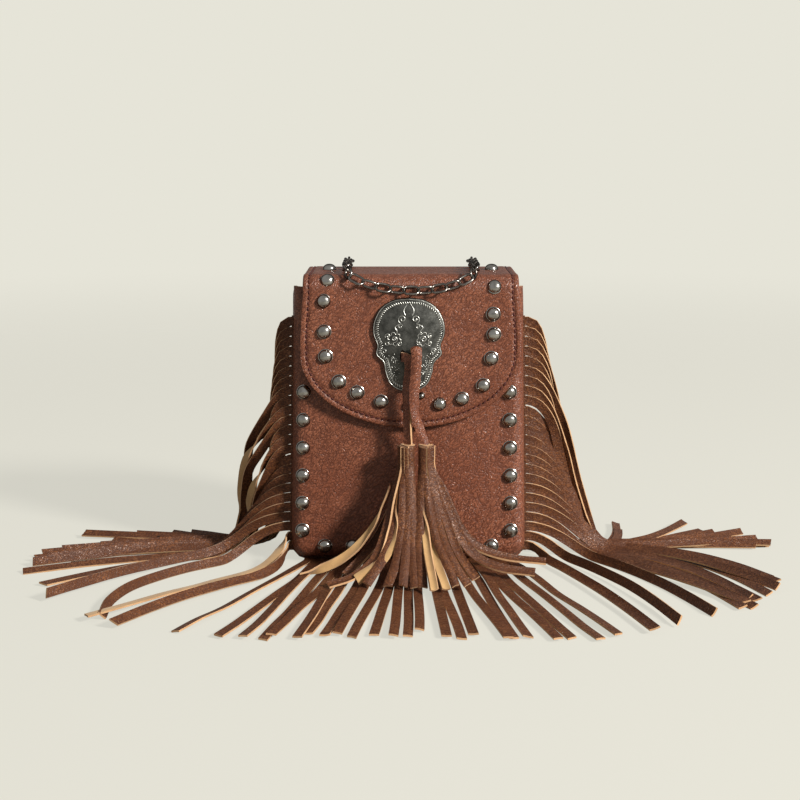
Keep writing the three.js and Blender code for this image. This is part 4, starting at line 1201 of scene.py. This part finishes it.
def makeLace():
    right = [(4.0, -39.6, 131.8), (4.1, -43.0, 132.6), (4.4, -45.4, 134.6), (4.6, -48.4, 134.9), (4.7, -50.2, 132.6),
             (4.6, -50.6, 127), (4.2, -50.4, 118), (3.6, -50.2, 106), (4.4, -49.6, 95), (7.4, -49.0, 85),
             (9.9, -48.6, 74)]
    rightWide = [(1, 0, 0)] * 6 + [(1, 0.1, 0), (0.9, 0.4, 0), (0.75, 0.6, 0), (0.85, 0.45, 0), (1, 0.1, 0)]
    left = [(-3.3, -39.6, 128.6), (-4.4, -42.6, 128.4), (-4.0, -45.0, 128.4), (-1.2, -46.2, 128.2),
            (0.4, -46.2, 125.2), (0.2, -46.2, 119), (-1.2, -46.4, 110), (-1.2, -47.0, 98), (-0.9, -48.2, 86),
            (-0.6, -48.6, 74)]
    leftWide = [(0, 0, 1), (0, 0, 1), (0, 0, 1), (0.15, 0, 1), (1, 0, 0.35), (1, -0.1, 0), (0.9, -0.4, 0),
                (0.7, -0.7, 0), (0.7, -0.6, 0), (0.8, -0.4, 0)]
    legs = [layStrip("leg", right, rightWide, laces["width"] + 0.7, cup=-1.15),
            layStrip("leg", left, leftWide, laces["width"] * 0.95, cup=0.2)]
    lace = joinPieces(legs, "laceStrap")
    thicken(lace, laces["thickness"], bodyLeather, bodyLeather, cutEdge)
    finish(lace, "flap", "body_leather", "lace")


makeLace()
print("lace made")

# Concho: a domed plate with a roped border and scrolls
concho = {
    "centre": (0.2, 137.0), "back": -38.25, "rim": 1.5, "dome": 2.5, "rings": 34,
    "outline": [(0, 26), (9, 24.8), (16.4, 20.2), (20.8, 12), (21.2, 4.6), (18.9, -2.4), (19.6, -7.6), (15.2, -12.6),
                (13.8, -19), (11, -25.4), (5.4, -29.2), (0, -29.6)],
    "slots": [(-3.4, 128.8, 1.7, 3.6), (4.0, 132.0, 3.4, 1.9)],
    # curls by the brow, in the rosette and on the cheek: x, z, radius, turns, start, way round, line radius
    "curls": [(5.0, 9.2, 1.5, 1.1, 1.2, 1, 0.36), (8.6, 1.8, 2.1, 1.4, 0.6, 1, 0.42),
              (12.4, 3.6, 1.7, 1.2, 2.4, -1, 0.4), (12.6, -0.8, 1.5, 1.2, 3.6, 1, 0.38),
              (5.6, -1.0, 1.4, 1.1, 0.2, -1, 0.38), (14.6, -5.6, 1.9, 1.3, 2.4, -1, 0.4)],
    "stemSteps": (0, 0.15, 0.3, 0.45, 0.6, 0.75, 0.9, 1),
    "ticks": 1.5, "tickInset": 2.7, "grains": 120,
}


def conchoOutline(count):
    half = [(x, 0, z) for x, z in concho["outline"]]
    wide = [(0, 1, 0)] * len(half)
    line, _, _ = throughPoints(half, wide, count)
    right = [(p[0], p[2]) for p in line]
    return right + [(-x, z) for x, z in right[-2:0:-1]]


# How far the plate stands out at a place, from its rim to the middle of the dome
def conchoHeight(x, z):
    turn = math.atan2(z, x)
    edge = outlineReach(turn)
    share = min(math.hypot(x, z) / edge, 1)
    return concho["rim"] + concho["dome"] * (1 - share ** 2.6)


conchoLine = conchoOutline(90)
conchoTurns = sorted((math.atan2(z, x), math.hypot(x, z)) for x, z in conchoLine)


def outlineReach(turn):
    turns = [t for t, _ in conchoTurns]
    reaches = [r for _, r in conchoTurns]
    return float(np.interp(turn, turns, reaches, period=2 * math.pi))


def onConcho(x, z, out=0.0):
    return at(concho["centre"][0] + x, concho["back"] - conchoHeight(x, z) - out, concho["centre"][1] + z)


def makeConchoPlate():
    line = conchoLine + [conchoLine[0]]
    count = len(line) - 1

    def shape(u, v):
        x, z = line[round(u * count)]
        share = 0.02 + 0.98 * v
        height = conchoHeight(x * share, z * share)
        distance = math.hypot(x, z) * (1 - share)
        edge = 0.7 * math.exp(-(distance / 0.55) ** 2)
        ridge = 0.35 * math.exp(-((distance - 1.25) / 0.6) ** 2)
        return at(concho["centre"][0] + x * share, concho["back"] - height + edge - ridge,
                  concho["centre"][1] + z * share)

    plate = addSheet("conchoPlate", count, concho["rings"], shape)
    weld(plate, 0.004)
    centreX, centreZ = concho["centre"]
    selectOpenEdges(plate, lambda place: math.hypot(place.x / mm - centreX, place.z / mm - centreZ) >= 3)
    bpy.ops.mesh.extrude_region_move(TRANSFORM_OT_translate={"value": (0, 0.8 * mm, 0)})
    bpy.ops.object.mode_set(mode="OBJECT")
    for vertex in plate.data.vertices:
        if vertex.select:
            vertex.co.y = concho["back"] * mm
    bpy.ops.object.mode_set(mode="EDIT")
    bpy.ops.mesh.edge_face_add()
    bpy.ops.mesh.select_all(action="DESELECT")
    bpy.ops.mesh.select_non_manifold()
    bpy.ops.mesh.edge_face_add()
    faceOutwards()
    for x, z, halfX, halfZ in concho["slots"]:
        deselect()
        bpy.ops.mesh.primitive_cylinder_add(vertices=24, radius=1, depth=20 * mm, rotation=(math.pi / 2, 0, 0),
                                            location=at(x, -40, z))
        cutter = bpy.context.object
        bpy.ops.object.transform_apply(location=False, rotation=True, scale=False)
        cutter.scale = (halfX * mm, 1, halfZ * mm)
        cut = plate.modifiers.new("slot", "BOOLEAN")
        cut.operation = "DIFFERENCE"
        cut.solver = "EXACT"
        cut.object = cutter
        applyAll(plate)
        bpy.data.objects.remove(cutter)
    softShade(plate, 50)
    dress(plate, pewter)
    return plate


def raisedLine(points, radius, name):
    deselect()
    curve = bpy.data.curves.new(name, "CURVE")
    curve.dimensions = "3D"
    curve.bevel_depth = radius * mm
    curve.bevel_resolution = 2
    curve.use_fill_caps = True
    spline = curve.splines.new("POLY")
    spline.points.add(len(points) - 1)
    for k, (x, z) in enumerate(points):
        spline.points[k].co = (*onConcho(x, z, radius * 0.15), 1)
        share = k / (len(points) - 1)
        spline.points[k].radius = 0.55 + 0.45 * math.sin(math.pi * min(share + 0.12, 1))
    piece = bpy.data.objects.new(name, curve)
    bpy.context.scene.collection.objects.link(piece)
    makeActive(piece)
    bpy.ops.object.convert(target="MESH")
    return bpy.context.object


def spiral(cx, cz, radius, turns, start, sign, grow=0.15):
    points = []
    steps = int(26 * abs(turns))
    for k in range(steps + 1):
        share = k / steps
        turn = start + sign * turns * 2 * math.pi * share
        reach = radius * (grow + (1 - grow) * share)
        points.append((cx + reach * math.cos(turn), cz + reach * math.sin(turn)))
    return points


def makeConcho():
    parts = []
    plate = makeConchoPlate()
    scrolls = []
    rim = [(x * (1 - 0.75 / math.hypot(x, z)), z * (1 - 0.75 / math.hypot(x, z))) for x, z in conchoLine]
    scrolls.append((rim + rim[:2], 0.42))
    for sign in (-1, 1):
        scrolls.append((spiral(sign * 3.9, 13.6, 2.6, 1.4, math.pi / 2 - sign * 0.4, -sign), 0.46))
        for x, z, radius, turns, start, way, line in concho["curls"]:
            scrolls.append((spiral(sign * x, z, radius, turns, start, way * sign), line))
        scrolls.append(([(sign * (1.9 + 1.1 * math.sin(t * 4)), 15.8 + 6.6 * t) for t in concho["stemSteps"]], 0.44))
        scrolls.append(([(sign * (5.6 + 3.4 * t + 1.6 * math.sin(t * 5.5)), 10.6 - 5.4 * t)
                         for t in concho["stemSteps"]], 0.44))
        scrolls.append(([(sign * (12.6 - 3.6 * t), -9.5 - 15 * t) for t in (0, 0.2, 0.4, 0.6, 0.8, 1)], 0.34))
        for k in range(6):
            turn = k * math.pi / 3 + 0.3
            petal = []
            for t in (0, 0.25, 0.5, 0.75, 1):
                swing = turn + (t - 0.5) * 0.95
                reach = 2.9 + 1.3 * math.sin(math.pi * t)
                petal.append((sign * (8.6 + reach * math.cos(swing)), 1.8 + reach * math.sin(swing)))
            scrolls.append((petal, 0.36))
    for points, radius in scrolls:
        parts.append(raisedLine(points, radius, "scroll"))
    # rope ticks inside the rim
    deselect()
    bpy.ops.mesh.primitive_uv_sphere_add(segments=8, ring_count=5, radius=1)
    tick = bpy.context.object
    line = [at(x, 0, z) for x, z in conchoLine]
    line.append(line[0])
    for number, (spot, along) in enumerate(evenPoints(line, concho["ticks"] * mm)):
        x, z = spot.x / mm, spot.z / mm
        shrink = 1 - concho["tickInset"] / math.hypot(x, z)
        centre = onConcho(x * shrink, z * shrink, 0.05)
        side = Vector((along.z, 0, -along.x))
        turn = Matrix((along, Vector((0, -1, 0)), side)).transposed().to_4x4()
        move = Matrix.Translation(centre) @ turn @ Matrix.Rotation(0.5, 4, "Y")
        size = Matrix.Diagonal((0.42 * mm, 0.42 * mm, 1.15 * mm, 1))
        parts.append(copyMesh(tick, f"tick{number}", move @ size))
    # small grains on the cheeks and down the jaw
    rng = random.Random(3)
    for number in range(concho["grains"]):
        z = rng.uniform(-25, -6.5)
        x = rng.choice((-1, 1)) * rng.uniform(5.6, 12.5 + 0.28 * z + 4)
        if math.hypot(x, z) > outlineReach(math.atan2(z, x)) - 4.2:
            continue
        size = Matrix.Diagonal((rng.uniform(0.3, 0.5) * mm, 0.36 * mm, rng.uniform(0.3, 0.5) * mm, 1))
        parts.append(copyMesh(tick, f"grain{number}", Matrix.Translation(onConcho(x, z)) @ size))
    bpy.data.objects.remove(tick)
    relief = joinPieces(parts, "conchoRelief")
    softShade(relief, 60)
    dress(relief, pewterBright)
    finish(relief, "flap", "dark_metal")
    finish(plate, "flap", "dark_metal", "concho")


makeConcho()
print("concho made")

# Chain of real links over the top, down over the front of the flap and behind the bag
chain = {
    "wire": 1.5, "length": 10.7, "width": 7.2, "pitch": 8.45, "left": -37, "right": 40, "back": 34.5,
    "top": 179.265, "tab": 59, "hole": 149, "dip": 97, "frontY": -41.07,
}


def makeLinkModel():
    deselect()
    minor = chain["wire"] / 2
    major = chain["width"] / 2 - minor
    bpy.ops.mesh.primitive_torus_add(major_radius=major * mm, minor_radius=minor * mm,
                                     major_segments=28, minor_segments=9)
    model = bpy.context.object
    model.name = "linkModel"
    shift = (chain["length"] - chain["width"]) / 2 * mm
    for vertex in model.data.vertices:
        pull = math.copysign(1, vertex.co.x) if abs(vertex.co.x) > 1e-6 else 0
        vertex.co.x += pull * shift
    return model


def layChain(name, points, facingAt, firstRoll, lastRoll, body, node):
    dense, _, _ = throughPoints(points, [(1, 0, 0)] * len(points), 400)
    steps = np.concatenate([[0], np.cumsum(np.linalg.norm(np.diff(dense, axis=0), axis=1))])
    linkHalf = (chain["length"] - chain["wire"]) / 2
    whole = float(steps[-1])
    count = round((whole - 2 * linkHalf) / chain["pitch"]) + 1
    step = (whole - 2 * linkHalf) / (count - 1)

    def along(s):
        return Vector([float(np.interp(s, steps, dense[:, k])) for k in range(3)])

    links = []
    for k in range(count):
        s = linkHalf + k * step
        ahead, behind = along(min(s + linkHalf, whole)), along(max(s - linkHalf, 0))
        centre = along(s).lerp((ahead + behind) / 2, 0.4)
        x = (ahead - behind).normalized()
        facing = Vector(facingAt(centre))
        z = (facing - x * facing.dot(x)).normalized()
        y = z.cross(x)
        roll = math.pi / 4 * (-1 if k % 2 else 1)
        if k == 0:
            roll = firstRoll
        if k == count - 1:
            roll = lastRoll
        basis = Matrix((x, y, z)).transposed().to_4x4()
        move = Matrix.Translation(centre * mm) @ basis @ Matrix.Rotation(roll, 4, "X")
        links.append(copyMesh(linkModel, f"link{k}", move))
    piece = joinPieces(links, name)
    softShade(piece, 60)
    dress(piece, chainMetal)
    finish(piece, body, "dark_metal", node)


def makeChains():
    left, right, back, top = chain["left"], chain["right"], chain["back"], chain["top"]
    edge = flap["top"] - flap["frontBend"] * 0.3 + 2.4
    front = chain["frontY"]
    line = [(left, back, top), (left, 12, top), (left, -12, top), (left + 0.5, -29, top + 0.3),
            (left + 3, -39.4, edge), (left + 11, front - 0.4, 172), (left + 22, front, 169), (1.5, front, 167.5),
            (right - 22, front, 168.6), (right - 10, front - 0.4, 172), (right - 3, -39.4, edge),
            (right - 0.5, -29, top + 0.3), (right, -12, top), (right, 12, top), (right, back, top)]

    def overTop(place):
        return 0, -smooth((-20 - place.y) / 18), max(1 - smooth((-24 - place.y) / 16), 0.001)

    layChain("chainFront", line, overTop, 0, 0, "flap", "chain_front")
    for side, foldX, endX in (("Left", left, -chain["tab"]), ("Right", right, chain["tab"])):
        hook = top + chain["wire"] + 0.3
        dip = chain["dip"]
        middle = (foldX + endX) / 2
        line = [(foldX, back, hook), (foldX, back, (hook + dip) / 2 + 8),
                (foldX + (middle - foldX) * 0.25, back, dip + 14), (middle, back, dip),
                (endX - (endX - middle) * 0.25, back, dip + 14), (endX, back, (chain["hole"] + dip) / 2 + 6),
                (endX, back, chain["hole"])]
        layChain("chainRear" + side, line, lambda place: (0, 1, 0), math.pi / 2, math.pi / 2, "bag",
                 "chain_rear_" + side.lower())
    bpy.data.objects.remove(linkModel)


linkModel = makeLinkModel()
makeChains()
print("chain made")


# Small rigid pieces keep their shape and get soft edges.
def softCopy(node, name, look, edge, body, slotName):
    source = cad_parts[node]
    piece = source.copy()
    piece.data = source.data.copy()
    piece.name = name
    piece.data.name = name
    for key in list(piece.keys()):
        if key.startswith("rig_"):
            del piece[key]
    piece.parent = None
    bpy.context.scene.collection.objects.link(piece)
    weld(piece, 0.01)
    bpy.ops.mesh.dissolve_limited(angle_limit=math.radians(2))
    bpy.ops.object.mode_set(mode="OBJECT")
    soft = piece.modifiers.new("edge", "BEVEL")
    soft.width = edge * mm
    soft.segments = 2
    soft.limit_method = "ANGLE"
    soft.angle_limit = math.radians(35)
    applyAll(piece)
    softShade(piece, 45)
    dress(piece, look)
    finish(piece, body, slotName, node)


for node, name, look, edge, body, slotName in (
        ("chain_tab_left", "chainTabLeft", bodyLeather, 0.3, "bag", "body_leather"),
        ("chain_tab_right", "chainTabRight", bodyLeather, 0.3, "bag", "body_leather"),
        ("snap_stud", "snapStud", studMetal, 0.15, "flap", "dark_metal"),
        ("snap_socket", "snapSocket", studMetal, 0.15, "bag", "dark_metal")):
    softCopy(node, name, look, edge, body, slotName)
for model in (stripModel, stitchModel):
    bpy.data.objects.remove(model)
print("tabs and snap made")

# Studio: a pale floor that fades into the background, a key light from the right and dim surroundings
studio = {
    "background": (0.791, 0.776, 0.687, 1), "floor": (0.68, 0.668, 0.602, 1), "floorBounce": (0.36, 0.35, 0.31, 1),
    "ownLight": 0.76, "fill": 0.30, "keyWay": (0.683, -0.573, 0.454), "keyDistance": 3200, "keySize": 560,
    "keyPower": 158, "keyColour": (1.0, 0.97, 0.92), "fillColour": (1.0, 0.99, 0.97, 1), "radius": 2600,
    "fadeFrom": 0.6, "fadeTo": 2.2,
}


def makeStudio():
    deselect()
    bpy.ops.mesh.primitive_circle_add(vertices=96, radius=studio["radius"] * mm, fill_type="NGON")
    floor = bpy.context.object
    floor.name = "studioFloor"
    material, tree, shader, place = startMaterial("studioFloor")
    rays = tree.nodes.new("ShaderNodeLightPath")
    seen = rays.outputs["Is Camera Ray"]
    tree.links.new(blendColour(tree, seen, studio["floorBounce"], studio["floor"]), shader.inputs["Base Color"])
    shader.inputs["Roughness"].default_value = 0.9
    shader.inputs["Specular IOR Level"].default_value = 0.0
    glow = addNode(tree, "ShaderNodeEmission", {"Color": studio["background"], "Strength": 1.0})
    share = sums(tree, "MULTIPLY", seen, studio["ownLight"])
    lit = addNode(tree, "ShaderNodeMixShader", {0: share, 1: shader.outputs[0], 2: glow.outputs[0]})
    reach = addNode(tree, "ShaderNodeVectorMath", {0: place}, operation="LENGTH")
    fade = span(tree, reach.outputs["Value"], studio["fadeFrom"], studio["fadeTo"])
    clear = tree.nodes.new("ShaderNodeBsdfTransparent")
    mixed = addNode(tree, "ShaderNodeMixShader", {0: fade, 1: lit.outputs[0], 2: clear.outputs[0]})
    tree.links.new(mixed.outputs[0], tree.nodes["Material Output"].inputs["Surface"])
    dress(floor, material)

    world = bpy.data.worlds.new("studioWorld")
    world.use_nodes = True
    bpy.context.scene.world = world
    tree = world.node_tree
    plain = tree.nodes["Background"]
    plain.inputs["Color"].default_value = studio["fillColour"]
    plain.inputs["Strength"].default_value = studio["fill"]
    backdrop = addNode(tree, "ShaderNodeBackground", {"Color": studio["background"], "Strength": 1.0})
    rays = tree.nodes.new("ShaderNodeLightPath")
    direct = sums(tree, "MAXIMUM", rays.outputs["Is Camera Ray"], rays.outputs["Is Transmission Ray"])
    mixed = addNode(tree, "ShaderNodeMixShader", {0: direct, 1: plain.outputs[0], 2: backdrop.outputs[0]})
    tree.links.new(mixed.outputs[0], tree.nodes["World Output"].inputs["Surface"])

    deselect()
    way = Vector(studio["keyWay"]).normalized()
    target = at(0, -30, 80)
    bpy.ops.object.light_add(type="AREA", location=target + way * studio["keyDistance"] * mm)
    key = bpy.context.object
    key.name = "keyLight"
    key.data.shape = "DISK"
    key.data.size = studio["keySize"] * mm
    key.data.energy = studio["keyPower"]
    key.data.color = studio["keyColour"]
    key.rotation_euler = way.to_track_quat("Z", "Y").to_euler()


makeStudio()
bpy.context.scene.view_settings.view_transform = "Standard"
print("studio made")
